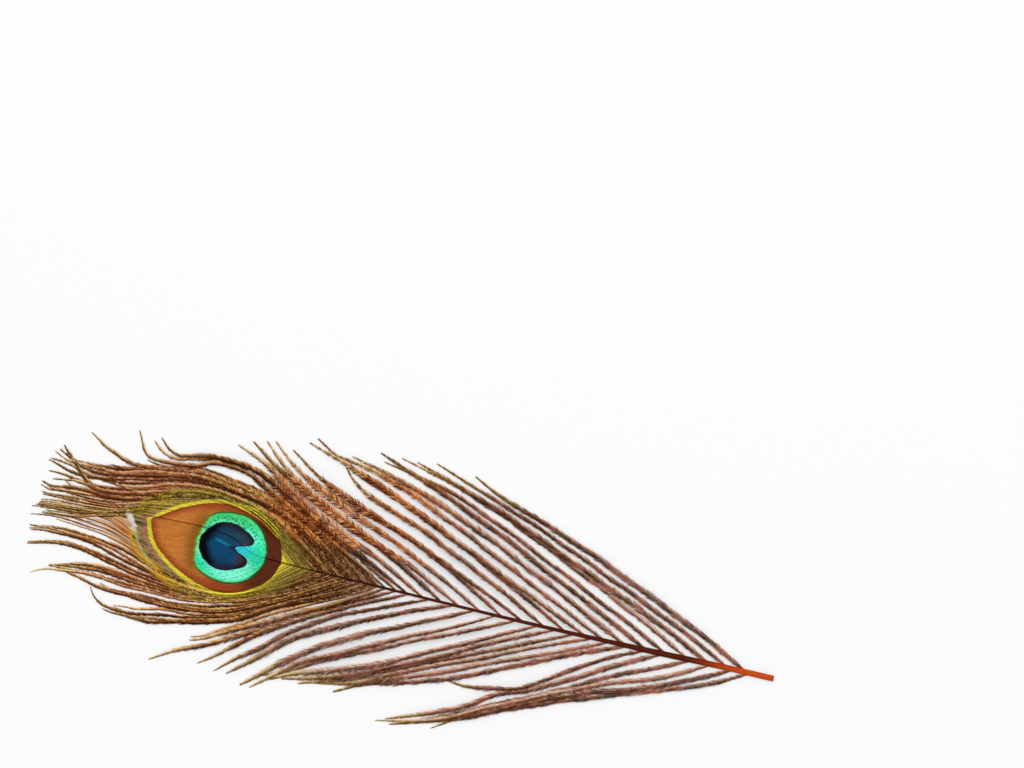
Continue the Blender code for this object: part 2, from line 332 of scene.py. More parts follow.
def borderTable(border):
    # A border's radius against the share of a turn, from -180 to 180 degrees
    centreX, centreY = border["centre"]
    rows = sorted((math.atan2(y - centreY, x - centreX) / math.tau + 0.5,
                   math.hypot(x - centreX, y - centreY)) for x, y in inPairs(border["points"]))
    # The radius where the turn starts and ends, between the last place and the first
    start = (rows[-1][0] - 1.0, rows[-1][1])
    share = -start[0] / (rows[0][0] - start[0])
    seam = start[1] + (rows[0][1] - start[1]) * share
    rows = [row for row in rows if 0.002 < row[0] < 0.998]
    return [(0.0, seam)] + rows + [(1.0, seam)]


def borderNodes(border, x, y):
    # How far outside a border a place is, its direction from the centre, and its turn round it
    centreX, centreY = border["centre"]
    acrossX, acrossY = x - centreX, y - centreY
    radius = maths("SQRT", acrossX * acrossX + acrossY * acrossY)
    turn = maths("ARCTAN2", acrossY, acrossX) * (1 / math.tau) + 0.5
    table = [(share, reach / borderReach) for share, reach in borderTable(border)]
    outside = radius - curveNode(turn, table) * borderReach
    return outside, acrossX / radius, acrossY / radius, turn


# Colours as they show on screen, 0 to 255

eyeColours = {
    "heartBlack": (8, 8, 17),
    "heartEdge": (0, 42, 30),
    "heartPurple": (31, 22, 38),
    "heartBlue": (17, 70, 108),
    "heartSlate": (28, 66, 86),
    "heartLobe": (60, 46, 50),
    "upperLobe": (46, 58, 68),
    "heartStreak": (28, 130, 168),
    "discGreen": (60, 194, 112),
    "discSpeck": (28, 136, 80),
    "discBright": (84, 240, 190),
    "discTeal": (46, 216, 172),
    "discLight": (138, 254, 220),
    "discNotch": (50, 196, 216),
    "discLeft": (140, 236, 160),
    "discOuter": (80, 214, 120),
    "discRim": (20, 84, 30),
    "rimLeft": (120, 140, 48),
    "eggOrange": (216, 134, 58),
    "eggOlive": (146, 98, 30),
    "eggRust": (156, 70, 28),
    "eggDark": (92, 40, 17),
    "ringYellow": (230, 216, 62),
    "mauve": (172, 120, 92),
    "oliveDark": (80, 54, 16),
    "oliveLight": (188, 160, 62),
    "oliveYellow": (184, 156, 46),
    "straw": (226, 180, 92),
    "tan": (184, 156, 98),
    "paleBuff": (236, 234, 222),
    "paleGreen": (190, 188, 132),
    "gold": (214, 164, 48),
    "wedgeYellow": (220, 196, 48),
    "wedgeOlive": (158, 142, 56),
}

# Spacings and places of the eye's figure, in mm

eyeFigure = {
    "saw": 0.4,  # how far the barbs are shifted against each other
    "dashGap": 0.42,
    "waveGap": 0.85,
    "lineGap": 0.95,
    "axis": -0.8,  # the shaft's line, across the feather
    "wedgeStart": -187.5,
    "wedgeLength": 8.5,
    "widthUnit": 10.0,
}

# Widths by turn round the egg's centre, from the tip by way of the lower side, in width units
ringWidths = ((0.0, 0.16), (0.1, 0.155), (0.2, 0.145), (0.28, 0.13), (0.36, 0.09), (0.42, 0.11),
              (0.5, 0.18), (0.56, 0.1), (0.6, 0.26), (0.69, 0.24), (0.74, 0.13), (0.86, 0.13),
              (0.93, 0.14), (1.0, 0.16))
bandWidths = ((0.0, 0.64), (0.03, 0.77), (0.06, 0.74), (0.12, 0.6), (0.19, 0.42), (0.25, 0.3),
              (0.34, 0.24), (0.44, 0.26), (0.5, 0.3), (0.57, 0.2), (0.7, 0.18), (0.78, 0.26),
              (0.86, 0.5), (0.93, 0.78), (0.98, 0.84), (1.0, 0.64))


def eyePatternGroup(colours, values):
    hue = shaderColours(colours)
    tree, given, result = newGroup(
        "eye pattern", "Shader",
        [("Place", "Vector", None), ("Shift", "Float", 0.5), ("Streak", "Float", 0.5),
         ("Run", "Float", 0.0), ("Barb Colour", "Color", (0.2, 0.1, 0.05, 1.0))],
        [("Colour", "Color"), ("Inside", "Float"), ("Egg", "Float"), ("Gloss", "Float")])
    shift, streak, run = given["Shift"], given["Streak"], given["Run"]
    x, y = onFeather(given["Place"])
    x = x + (shift * values["saw"] - values["saw"] / 2)
    outside, toRight, toTop, turn = borderNodes(eyeBorders["egg"], x, y)

    # How light each spot of a barb is: its own streak, clouds, dashes, speckle and waves
    lane = shift * 23.0  # sets one barb's pattern apart from the next one's
    cloud = noise(joinVector(run * 0.3, lane, 0.0), 1.0, 3.0, 0.65)
    dash = maths("SINE", run * (math.tau / values["dashGap"]) + lane * 3.0)
    speckle = noise(joinVector(x, y, 7.0), 1.1, 2.0, 0.7)
    stripe = dash * 0.05 + (streak * 0.55 + (cloud * 1.1 - 0.32))
    stripe = speckle * 0.7 + (stripe - 0.35)
    serration = speckle * 1.5 + (streak * 0.4 - 0.95)
    waves = maths("COSINE", outside * (math.tau / values["waveGap"]) + cloud * 7.0)
    stripe = waves * 0.09 + stripe

    # Bands outside the egg: mauve by the tip, then striped olive, a pale line and gold
    ringWidth = curveNode(turn, ringWidths) * values["widthUnit"]
    bandWidth = curveNode(turn, bandWidths) * values["widthUnit"]
    share = (outside - ringWidth) / bandWidth
    raggedShare = share + (streak * 1.2 - 0.6) / bandWidth
    upperPart = stepUp(toTop, -0.1, 0.02)
    lowerTip = stepDown(toTop, 0.06, 0.14) * stepDown(toRight, -0.8, -0.45)
    tip = stepDown(toRight, -0.95, -0.84)
    checks = stepUp(turn, 0.26, 0.32) * stepDown(turn, 0.46, 0.52)
    low = mixColour(stepUp(dash * checks * 0.28 + stripe, 0.26, 0.6), hue.oliveDark,
                    mixColour(checks, hue.straw, hue.oliveLight))
    high = mixColour(stepUp(share, 0.3, 0.6), hue.oliveLight, hue.oliveYellow)
    high = painted(hue.oliveDark, (stepUp(share * 0.25 + stripe, 0.37, 0.73), high),
                   (stepUp(speckle, 0.5, 0.62) * 0.45, hue.tan))
    tan = mixColour(stepUp(stripe, 0.42, 0.72), hue.oliveDark, hue.tan)
    golden = mixColour(stepUp(stripe, 0.05, 0.42), hue.oliveDark, hue.gold)
    goldFrom = raggedShare - mixValue(stepDown(toTop, -0.5, -0.25), 0.72, 0.42)
    mauve = stepDown(share, 0.16, 0.28) * stepUp(stripe, 0.16, 0.4) * stepDown(toTop, 0.1, 0.32)
    fromPale = abs(share - mixValue(upperPart, 0.63, 0.8))
    pale = stepDown(fromPale, mixValue(upperPart, 0.02, 0.1), mixValue(upperPart, 0.11, 0.24))
    pale = pale * tip * stepDown(toTop, 0.07, 0.12) * mixValue(upperPart, 0.6, 0.95)
    bands = painted(low, (stepUp(toTop, -0.1, 0.2), high), (lowerTip, tan),
                    (tip * mauve, hue.mauve), (lowerTip * stepUp(goldFrom, -0.06, 0.1), golden),
                    (pale, mixColour(upperPart, hue.paleGreen, hue.paleBuff)))
    bandMask = stepDown(raggedShare, 0.85, 1.15)

    # The yellow ring, broken into thin lines on the upper right
    ring = mixColour(stepDown(stripe, 0.12, 0.6) * 0.55, hue.ringYellow, hue.oliveDark)
    ringMask = stepDown(outside + serration - ringWidth, -0.15, 0.15)
    lines = maths("COSINE", outside * (math.tau / values["lineGap"]) - 2.3)
    broken = mixColour(stepUp(lines, -0.4, 0.7), hue.oliveDark,
                       mixColour(stepUp(outside, 0.75, 0.95), hue.gold, hue.ringYellow))
    apart = stepUp(turn, 0.56, 0.585) * stepDown(turn, 0.68, 0.71) * stepDown(outside, 2.5, 3.0)

    # Yellow wedge on the quill's side, fading to olive along the shaft
    fromStart = x + abs(y - values["axis"]) - values["wedgeStart"]
    wedgeShare = fromStart * (1 / values["wedgeLength"]) + (shift * 0.3 - 0.15)
    dull = stepDown(stripe, 0.2, 0.6) * stepUp(wedgeShare, 0.1, 0.9)
    wedge = painted(hue.wedgeYellow, (stepUp(wedgeShare, 0.25, 0.75), hue.wedgeOlive),
                    (dull * 0.7, hue.oliveDark))
    wedgeMask = stepUp(x, -192.0, -187.0) * stepDown(wedgeShare, 1.0, 1.9)

    # Brown egg: orange towards the tip, dark rust towards the quill
    fromDisc, discRight, discTop = borderNodes(eyeBorders["disc"], x, y)[:3]
    egg = colourRamp(discRight * 0.5 + 0.5, [
        (0.0, hue.eggOrange), (0.1, hue.eggOrange), (0.38, hue.eggRust), (0.58, hue.eggRust),
        (0.82, hue.eggDark), (1.0, hue.eggDark)])
    egg = painted(
        egg,
        (stepDown(fromDisc, 0.5, 6.5) * stepDown(discRight, -0.9, -0.5), hue.eggOlive),
        ((cloud * 0.9 + (streak * 0.2 - 0.3)) * 0.7, hue.eggRust),
        (stepUp(outside, -4.0, 0.0), hue.eggRust),
        (stepUp(speckle, 0.48, 0.62) * 0.2, hue.eggDark),
        (stepUp(discRight, 0.3, 0.75), hue.eggDark))
    eggMask = stepDown(outside, -0.15, 0.15)

    # Turquoise disc: speckled green at the upper left, light at the bottom, green at the rim
    fromHeart = borderNodes(eyeBorders["heart"], x, y)[0]
    slope = discRight * 0.1 + (discTop * -0.36 + 0.5)
    grain = noise(joinVector(x, y, 0.0), 1.15, 2.0, 0.7)
    disc = colourRamp(slope, [
        (0.0, hue.discGreen), (0.14, hue.discGreen), (0.4, hue.discBright), (0.58, hue.discTeal),
        (0.7, hue.discTeal), (0.9, hue.discLight)])
    disc = painted(
        disc,
        (stepDown(fromHeart, 0.3, 1.6) * 0.4, hue.discLight),
        (stepUp(grain, 0.49, 0.6) * mixValue(stepUp(slope, 0.25, 0.6), 1.0, 0.42), hue.discSpeck),
        (stepDown(x, -203.5, -196.0) * stepDown(abs(y), 1.5, 4.0) * stepUp(x, -208.0, -206.0),
         hue.discNotch),
        (stepDown(discRight, -0.99, -0.9), hue.discLeft),
        (stepUp(fromDisc, -1.7, -0.4) * 0.6, hue.discOuter),
        (stepUp(fromDisc, -0.55, 0.1),
         mixColour(stepDown(discRight, -0.95, -0.6), hue.discRim, hue.rimLeft)))
    discMask = stepDown(fromDisc, 0.0, 0.8)

    # Deep blue heart, black towards the tip, with brownish lobes round the notch
    rimFrom = mixValue(stepUp(x, -207.0, -203.0), -5.0, -2.6)
    fromGlow = abs(y - (x * -0.24 - 48.9))
    glow = stepDown(fromGlow, 0.1, 0.9) * (stepUp(x, -213.5, -211.0) * stepDown(x, -209.5, -205.5))
    heart = painted(
        hue.heartBlue,
        (stepUp(y, 1.0, 4.0) * stepUp(x, -213.0, -207.0), hue.heartSlate),
        (stepUp(x, -206.0, -201.0), mixColour(stepUp(y, 0.0, 3.0), hue.heartLobe, hue.upperLobe)),
        (stepUp(fromHeart, rimFrom, -0.6) * 0.85, hue.heartPurple),
        (stepDown(abs(y) * -0.5 + x, -217.2, -213.4), hue.heartBlack),
        (stepUp(fromHeart, -0.7, -0.1) * stepDown(x, -213.0, -208.0), hue.heartEdge),
        (glow * 0.8, hue.heartStreak))
    heartMask = stepDown(fromHeart, -0.15, 0.15)

    colour = painted(given["Barb Colour"], (bandMask, bands), (ringMask, ring), (apart, broken),
                     (wedgeMask, wedge), (eggMask, egg), (discMask, disc), (heartMask, heart))
    bandMask = greater(bandMask, greater(ringMask, wedgeMask))
    link(colour, result["Colour"])
    link(greater(eggMask, bandMask), result["Inside"])
    link(eggMask, result["Egg"])
    link(greater(discMask, heartMask) * 0.5 + 0.35, result["Gloss"])
    return tree


eyePattern = eyePatternGroup(eyeColours, eyeFigure)


# Barb colouring: mottled copper, more golden along the vane, rosier above it, pale at the tip.
# Each row goes from the shade to the brightest edge: besides the mottling, these ends carry painted
# shade on a barb's -Y side and a painted highlight on its +Y edge

barbColours = {
    "loose": ((56, 26, 13), (118, 70, 44), (200, 144, 112), (244, 212, 190)),
    "vane": ((62, 28, 8), (122, 67, 26), (194, 135, 69), (240, 198, 132)),
    "rosy": ((86, 31, 8), (200, 107, 44), (245, 155, 81), (250, 193, 119)),
    "copper": ((86, 37, 12), (134, 73, 36), (199, 133, 88), (242, 194, 150)),
    "fan": ((88, 40, 12), (142, 78, 34), (192, 126, 70), (228, 172, 118)),
    "tips": ((84, 54, 16), (158, 116, 60), (216, 178, 122), (250, 228, 194)),
    "end": ((52, 34, 8), (106, 74, 26), (172, 134, 64), (228, 198, 128)),
    "straw": ((120, 82, 34), (194, 152, 88), (230, 196, 142), (252, 234, 204)),
}

# Patches over the mottle: pink, partly the barbs' own tint and partly a painted pinkish sheen, and
# moss
loosePatches = {"pink": (216, 134, 108), "moss": (140, 108, 58)}


def barbColourGroup(colours, patches):
    # Painted light across each barb: the row of barbules towards +Y is painted pale as if lit, the
    # other dark as painted shade
    tree, given, result = newGroup(
        "barb colouring", "Shader",
        [("Place", "Vector", None), ("Tone", "Float", 0.5), ("Along", "Float", 0.5),
         ("Run", "Float", 0.0), ("Across", "Float", 0.0), ("Tint", "Float", 0.0),
         ("Streak", "Float", 0.5)],
        [("Colour", "Color"), ("Weave", "Float"), ("Height", "Float"), ("Roughness", "Float")])
    tone, streak, run, across = (given[key] for key in ("Tone", "Streak", "Run", "Across"))
    x, y = onFeather(given["Place"])

    # Where on the feather: the vane, the rosy part above it, the tuft, the fan and the tips
    above = stepUp(y, 7.0, 12.0)
    wellBelow = stepDown(y, -17.0, -12.0)
    warm = above * (stepUp(x, -200.0, -190.0) * stepUp(x, -120.0, -150.0))
    farOut = stepDown(y, -20.0, -12.0) * 28.0 + x
    vaneZone = stepUp(farOut, -142.0, -172.0)
    tuftZone = stepUp(x, -216.0, -230.0) * greater(stepUp(y, 3.0, 6.0), wellBelow * 0.75)
    fanZone = stepDown(y, 0.0, 4.0) * (1.0 - wellBelow) * stepUp(x, -236.0, -242.0)
    ends = stepDown(x, -274.0, -254.0) * mixValue(stepUp(tone, 0.4, 0.6), 0.8, 0.1)
    tipZone = stepUp(given["Along"], 0.78, 0.93)
    outermost = greater(stepDown(y, -24.0, -19.0), stepUp(y, 24.0, 28.0))
    fromShaft = abs(y - (x * 0.16 + 42.6))
    besideShaft = stepDown(fromShaft, 0.9, 2.4) * stepUp(x, -238.0, -244.0)
    nearRoot = stepUp(x, -204.0, -192.0) * stepUp(y, -17.0, -11.0)
    nearRoot = nearRoot * stepDown(x, -160.0, -120.0) * (1.0 - above)

    # How light a spot is: mottled along the barb, with a painted highlight on its +Y side and
    # painted shade on the other side
    seed = tone * 83.0
    fine = noise(joinVector(run * 0.8, seed, across * 0.5), 1.0, 3.0, 0.6)
    broad = noise(joinVector(run * 0.08, seed, 4.0), 1.0)
    patch = noise(joinVector(run * 0.14, seed, 9.0), 1.0)
    # side is 1 where a barb faces +Y and 0 on its other side, and carries the painted highlight and
    # shade
    side = stepUp(across, 0.85, -0.85)
    mottle = fine * 0.8 + (broad * 0.4 - 0.19)
    mottle = mottle + (streak * 0.4 - 0.2)
    mottle = (side - 0.5) * mixValue(warm, 0.76, 0.42) + mottle
    mottle = warm * -0.05 + mottle
    mottle = mottle + given["Tint"] * mixValue(warm, 0.24, 0.5)

    def palette(name):
        shade, middle, light, edge = (linear(*colour) for colour in colours[name])
        return colourRamp(mottle, [(0.12, shade), (0.43, middle), (0.7, light), (0.96, edge)])

    hue = shaderColours(patches)
    rosier = mixValue(stepUp(x, -110.0, -60.0), 0.34, 0.5)
    colour = painted(
        palette("loose"),
        (stepUp(patch, 0.44, 0.64) * rosier, hue.pink),
        (stepDown(patch, 0.3, 0.5) * 0.38, hue.moss),
        (vaneZone, palette("vane")), (warm * 0.85, palette("rosy")),
        (tuftZone, palette("copper")), (fanZone, palette("fan")),
        (greater(tipZone, ends) * 0.85, palette("tips")),
        (tipZone * outermost * 0.85, palette("straw")), (besideShaft * 0.8, palette("end")))

    # The core shows as a darker or lighter line between the two rows
    edge = abs(across)
    core = mixValue(vaneZone, 0.6, streak * 0.9 + 0.45)
    bright = mixValue(stepUp(edge, 0.02, 0.34), mixValue(warm, core, 0.36), 1.0)
    colour = darken(colour, bright * mixValue(nearRoot, 1.0, 0.7))
    weave = maths("SINE", (edge * -0.45 + run) * (math.tau / 0.2))
    link(colour, result["Colour"])
    link(weave, result["Weave"])
    link(weave * 0.25 + fine, result["Height"])
    link(mixValue(fine, 0.6, 0.38), result["Roughness"])
    return tree


barbColouring = barbColourGroup(barbColours, loosePatches)


def newMaterial(name):
    material = bpy.data.materials.new(name)
    material.use_nodes = True
    return material, material.node_tree, material.node_tree.nodes["Principled BSDF"]


def attribute(tree, name):
    return output(addNode(tree, "ShaderNodeAttribute", attribute_name=name), "Fac")


def barbMaterial(name, values):
    material, tree, shader = newMaterial(name)
    place = output(addNode(tree, "ShaderNodeTexCoord"), "Object")
    tone, across, run, tint, streak, along = (
        attribute(tree, title) for title in ("tone", "across", "run", "tint", "streak", "along"))
    barb = addNode(tree, "ShaderNodeGroup",
                   {"Place": place, "Tone": tone, "Along": along, "Run": run, "Across": across,
                    "Tint": tint, "Streak": streak}, node_tree=barbColouring)
    colour = output(barb, "Colour")
    if values["eye"]:
        eye = addNode(tree, "ShaderNodeGroup",
                      {"Place": place, "Shift": tone, "Streak": streak, "Run": run,
                       "Barb Colour": colour}, node_tree=eyePattern)
        inEgg = output(eye, "Egg")
        # Painted shade in the seams between barbs and painted light along their middles, then
        # flecks, tone and weave
        seam = mixValue(inEgg, values["outerSeamShade"],
                        output(eye, "Gloss") * 0.4 + values["innerSeamShade"])
        middle = mixValue(inEgg, values["outerMiddleLight"], values["innerMiddleLight"])
        shade = mixValue(stepUp(abs(across), 0.3, 0.85), middle, seam)
        shade = shade * (tint * mixValue(inEgg, values["outerFleck"], values["innerFleck"]) + 1.0)
        shade = shade * (tone * 0.16 + 0.92)
        shade = shade * (output(barb, "Weave") * 0.1 + 1.0)
        colour = mixColour(output(eye, "Inside"), colour, darken(output(eye, "Colour"), shade))
        link(output(eye, "Gloss"), shader.inputs["Metallic"])
    else:
        shader.inputs["Metallic"].default_value = values["metallic"]
    shader.inputs["Specular IOR Level"].default_value = values["specular"]
    link(colour, shader.inputs["Base Color"])
    link(output(barb, "Roughness"), shader.inputs["Roughness"])
    bump = addNode(tree, "ShaderNodeBump", {"Strength": values["bump"],
                                            "Distance": values["bumpDepth"],
                                            "Height": output(barb, "Height")})
    link(output(bump), shader.inputs["Normal"])
    return material


barbFinish = {"eye": False, "metallic": 0.3, "specular": 0.06, "bump": 0.3,
              "bumpDepth": 0.1 * mm}
eyeFinish = {"eye": True, "specular": 0.05, "bump": 0.2, "bumpDepth": 0.1 * mm,
             # painted shade at a barb's seams and painted light along its middle, and how strong
             # its flecks are
             "outerSeamShade": 0.4, "outerMiddleLight": 1.08, "outerFleck": 0.22,
             "innerSeamShade": 0.44, "innerMiddleLight": 0.89, "innerFleck": 0.05}
looseMaterial = barbMaterial("copper barbs", barbFinish)
eyeMaterial = barbMaterial("iridescent vane", eyeFinish)
print("materials ready")


# The shaft: x, y and width at places from the quill to the tip, in mm, and how it lies

shaft = {
    "line": ((0.0, -0.5, 2.2), (-20.0, -0.6, 2.2), (-45.0, -1.1, 2.2), (-63.0, -1.2, 1.7),
             (-82.0, -1.3, 1.45), (-108.0, -1.3, 1.25), (-135.0, -1.3, 1.05),
             (-160.0, -1.2, 0.95), (-180.0, -1.0, 0.7), (-197.0, -0.2, 0.5),
             (-204.0, 3.0, 0.42), (-212.0, 4.9, 0.38), (-225.0, 5.2, 0.34),
             (-243.0, 4.4, 0.26)),
    "crest": 3.6,  # how high the shaft arches between the quill and the eye
    "archStart": -45.0,
    "archEnd": -148.0,
    "settle": 30.0,  # length over which the shaft comes to rest on the vane
    "seat": math.cos(math.pi / 8),  # the shaft's height against its width
    "vaneThickness": 0.8,
    "sides": 16,
    "step": 2.0,
    "groove": (0.35, 0.4),  # depth and half width of the groove underneath, against the shaft's
    "wall": 0.72,  # how far in the keratin goes at the cut
    "pith": (0.66, 0.7 * mm),  # how far in the pith starts, and how deep it is sunken
}


def readBetween(table, x, column):
    # Value of a column at x, along a table that runs from the quill to the tip
    if x >= table[0][0]:
        return table[0][column]
    for near, far in zip(table, table[1:]):
        if x >= far[0]:
            share = (near[0] - x) / (near[0] - far[0])
            return near[column] + share * (far[column] - near[column])
    return table[-1][column]


def shaftHeight(x):
    seat = readBetween(shaft["line"], x, 2) / 2 * shaft["seat"]
    start, end = shaft["archStart"], shaft["archEnd"]
    arch = 0.0
    if end <= x <= start:
        arch = (shaft["crest"] - seat) * math.sin(math.pi * (start - x) / (start - end)) ** 1.5
    rest = seat if x > start else max(seat, shaft["vaneThickness"])
    return seat + (rest - seat) * between(x, start, start - shaft["settle"]) + arch


def densePath(points, perSpan=12):
    # Closely spaced points on a smooth curve through the given ones, and their distances
    guide = [Vector(point).to_3d() for point in points]
    guide = [2 * guide[0] - guide[1]] + guide + [2 * guide[-1] - guide[-2]]
    dense = []
    for a, b, c, d in zip(guide, guide[1:], guide[2:], guide[3:]):
        for i in range(perSpan):
            t = i / perSpan
            dense.append(0.5 * (2 * b + (c - a) * t + (2 * a - 5 * b + 4 * c - d) * t ** 2
                                + (3 * b - a - 3 * c + d) * t ** 3))
    dense.append(guide[-2])
    lengths = [0.0]
    for here, there in zip(dense, dense[1:]):
        lengths.append(lengths[-1] + (there - here).length)
    return dense, lengths


def pointAlong(dense, lengths, share):
    target = lengths[-1] * share
    low, high = 0, len(lengths) - 1
    while high - low > 1:
        half = (low + high) // 2
        if lengths[half] <= target:
            low = half
        else:
            high = half
    span = lengths[high] - lengths[low]
    return dense[low].lerp(dense[high], (target - lengths[low]) / span if span else 0.0)


def sampled(curve, count, reach=1.0):
    # Evenly spaced places on a dense path, as far as a share of its length
    return [pointAlong(*curve, reach * i / count) for i in range(count + 1)]


def evenPath(points, step):
    curve = densePath(points)
    return sampled(curve, max(3, round(curve[1][-1] / step)))


# One tree grows every barb: a slim core along the path, with leaf-shaped barbules on both sides

leastReach = 0.0004  # no barbules grow that would be shorter, in metres


def barbTree():
    tree, given, result = newGroup(
        "barb with barbules", "Geometry",
        [("Geometry", "Geometry", None), ("Core Flatness", "Float", 0.5), ("Core Sides", "Int", 6),
         ("Core Sheen", "Float", -1.0), ("Core Smooth", "Bool", True),
         ("Barbule Spacing", "Float", 0.0003), ("Barbule Width", "Float", 0.0003),
         ("Barbule Thickness", "Float", 0.0001), ("Barbule Angle", "Float", 0.4),
         ("Barbule Droop", "Float", 0.1), ("Tuft Frequency", "Float", 0.6),
         ("Cluster Frequency", "Float", 1.1), ("Seed", "Int", 1), ("Finish", "Material", None)],
        [("Geometry", "Geometry")])

    def node(kind, inputs=None, key=0, **settings):
        return output(addNode(tree, kind, inputs, **settings), key)

    def geometry(kind, inputs=None, **settings):
        return node("GeometryNode" + kind, inputs, **settings)

    def named(title):
        return node("GeometryNodeInputNamedAttribute", {"Name": title}, "Attribute",
                    data_type="FLOAT")

    def store(shape, title, value):
        return geometry("StoreNamedAttribute", {"Geometry": shape, "Name": title, "Value": value},
                        data_type="FLOAT", domain="POINT")

    def lengthwise():
        return separate(geometry("InputPosition"))[0]

    def randomBetween(low, high, offset):
        # Inputs 2 and 3 hold the range of numbers that aren't whole
        return node("FunctionNodeRandomValue",
                    {2: low, 3: high, "Seed": given["Seed"] + offset}, 1, data_type="FLOAT")

    # The core: a flattened ring carried along the path
    curve = geometry("MeshToCurve", {0: given["Geometry"]})
    curve = geometry("SetCurveNormal", {0: curve}, mode="Z_UP")
    ring = geometry("CurvePrimitiveCircle", {"Resolution": given["Core Sides"], "Radius": 1.0})
    ring = store(ring, "across", lengthwise() * given["Core Sheen"])
    ring = geometry("Transform", {"Geometry": ring,
                                  "Scale": joinVector(1.0, given["Core Flatness"], 1.0)})
    core = geometry("CurveToMesh", {"Curve": curve, "Profile Curve": ring,
                                    "Scale": named("halfWidth"), "Fill Caps": True})
    core = geometry("SetShadeSmooth", {0: core, 2: given["Core Smooth"]})

    # Where barbules grow, how they gather in tufts, and which clusters are lighter or darker
    dots = addNode(tree, "GeometryNodeCurveToPoints",
                   {0: curve, "Length": given["Barbule Spacing"]}, mode="LENGTH")
    facing = node("FunctionNodeAxesToRotation",
                  {"Primary Axis": output(dots, "Tangent"), "Secondary Axis": (0.0, 0.0, 1.0)},
                  primary_axis="X", secondary_axis="Z")
    clusterPlace = joinVector(named("run") * given["Cluster Frequency"], named("tone") * 37.0, 3.0)
    tint = noise(clusterPlace, 1.0, 1.0) * 5.0 - 2.5
    points = store(output(dots, "Points"), "tint", tint + randomBetween(-0.8, 0.8, 7))
    tuftPlace = joinVector(named("run") * given["Tuft Frequency"], named("tone") * 61.0, 0.0)
    tuft = noise(tuftPlace, 1.0, 1.0)
    reach = named("reach")
    grown = node("FunctionNodeCompare", {0: reach, 1: leastReach}, data_type="FLOAT",
                 operation="GREATER_THAN")

    # The barbules: one slim leaf of six faces, turned outwards and forwards on either side
    leaf = geometry("MeshUVSphere", {"Segments": 3, "Rings": 2, "Radius": 0.5})
    leafSize = joinVector(given["Barbule Thickness"], given["Barbule Width"], 1.0)
    leaf = geometry("Transform", {"Geometry": leaf, "Rotation": (0.0, -math.pi / 2, 0.0),
                                  "Translation": (0.5, 0.0, 0.0), "Scale": leafSize})
    leaf = geometry("SetShadeSmooth", {0: leaf, 2: False})
    stray = 0.1  # how far a barbule's angles stray, in radians
    shapes = [core]
    for way, offset in ((1.0, 11), (-1.0, 23)):
        angle = given["Barbule Angle"] * named("splay") + randomBetween(-stray, stray, offset)
        angle = tuft * 0.3 + (angle - 0.15)
        droop = given["Barbule Droop"] + randomBetween(-stray, stray, offset + 1)
        turn = node("FunctionNodeEulerToRotation", {0: joinVector(0.0, droop, angle * way)})
        turned = node("FunctionNodeRotateRotation", {0: facing, 1: turn}, rotation_space="LOCAL")
        length = reach * randomBetween(0.85, 1.15, offset + 2) * (tuft * 0.4 + 0.8)
        shapes.append(geometry("InstanceOnPoints", {
            "Points": points, "Selection": grown, "Rotation": turned,
            "Instance": store(leaf, "across", lengthwise() * way),
            "Scale": joinVector(length, 1.0, 1.0)}))
    both = addNode(tree, "GeometryNodeJoinGeometry")
    for shape in shapes:
        link(shape, both.inputs[0])
    solid = geometry("RealizeInstances", {0: output(both)})
    link(geometry("SetMaterial", {0: solid, 2: given["Finish"]}), result[0])
    return tree


barbGrower = barbTree()


def openness(x, y):
    # How much wider than elsewhere the barbules stand: on either side of the eye, and by the quill
    above = between(x, -204, -192) * between(x, -150, -164)
    above *= between(y, 5, 10) * between(y, 32, 26)
    below = between(x, -200, -188) * between(x, -130, -146) * between(y, -13, -20)
    byQuill = between(x, -80, -50)
    return 1.0 + 0.75 * above + 0.3 * below + 0.35 * byQuill


def strandMesh(name, strands):
    # Every barb as a row of edges; what the tree needs to know at each point rides along
    titles = ("halfWidth", "reach", "splay", "tone", "streak", "along", "run")
    places, edges, rows = [], [], []
    for strand in strands:
        points = strand["points"]
        run = 0.0
        for i, (place, halfWidth, reach) in enumerate(points):
            if i:
                run += (place - points[i - 1][0]).length
                edges.append((len(places) - 1, len(places)))
            places.append(rowPoint(*place))
            rows.append((halfWidth * mm, reach * mm, openness(place.x, place.y), strand["tone"],
                         strand["streak"], i / (len(points) - 1), run))
    mesh = bpy.data.meshes.new(name)
    mesh.from_pydata(places, edges, [])
    for title, column in zip(titles, zip(*rows)):
        mesh.attributes.new(title, "FLOAT", "POINT").data.foreach_set("value", column)
    return mesh


def growBarbs(name, strands, values, material):
    source = bpy.data.objects.new(name, strandMesh(name + " paths", strands))
    bpy.context.scene.collection.objects.link(source)
    grow = source.modifiers.new("grow barbs", "NODES")
    grow.node_group = barbGrower
    sockets = {item.name: item.identifier for item in barbGrower.interface.items_tree
               if item.in_out == "INPUT"}
    for title, value in values.items():
        grow[sockets[title]] = value
    grow[sockets["Finish"]] = material
    evaluated = source.evaluated_get(bpy.context.evaluated_depsgraph_get())
    mesh = bpy.data.meshes.new_from_object(evaluated)
    source.modifiers.remove(grow)
    source.data = mesh
    mesh.name = name
    for vertex in mesh.vertices:
        vertex.co.z = max(vertex.co.z, lowestPoint)
    finishPiece(source)
    triangles = sum(len(face.vertices) - 2 for face in mesh.polygons)
    print(name, "grown from", len(strands), "barbs:", triangles, "triangles")


def finishPiece(piece):
    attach(piece, "root")
    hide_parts("feather")


def growBothSides(name, strandsOf, values, growth, material):
    chance = random.Random(values["seed"])
    for side in ("lower", "upper"):
        growBarbs(side + name, strandsOf(side, values, chance), growth, material)


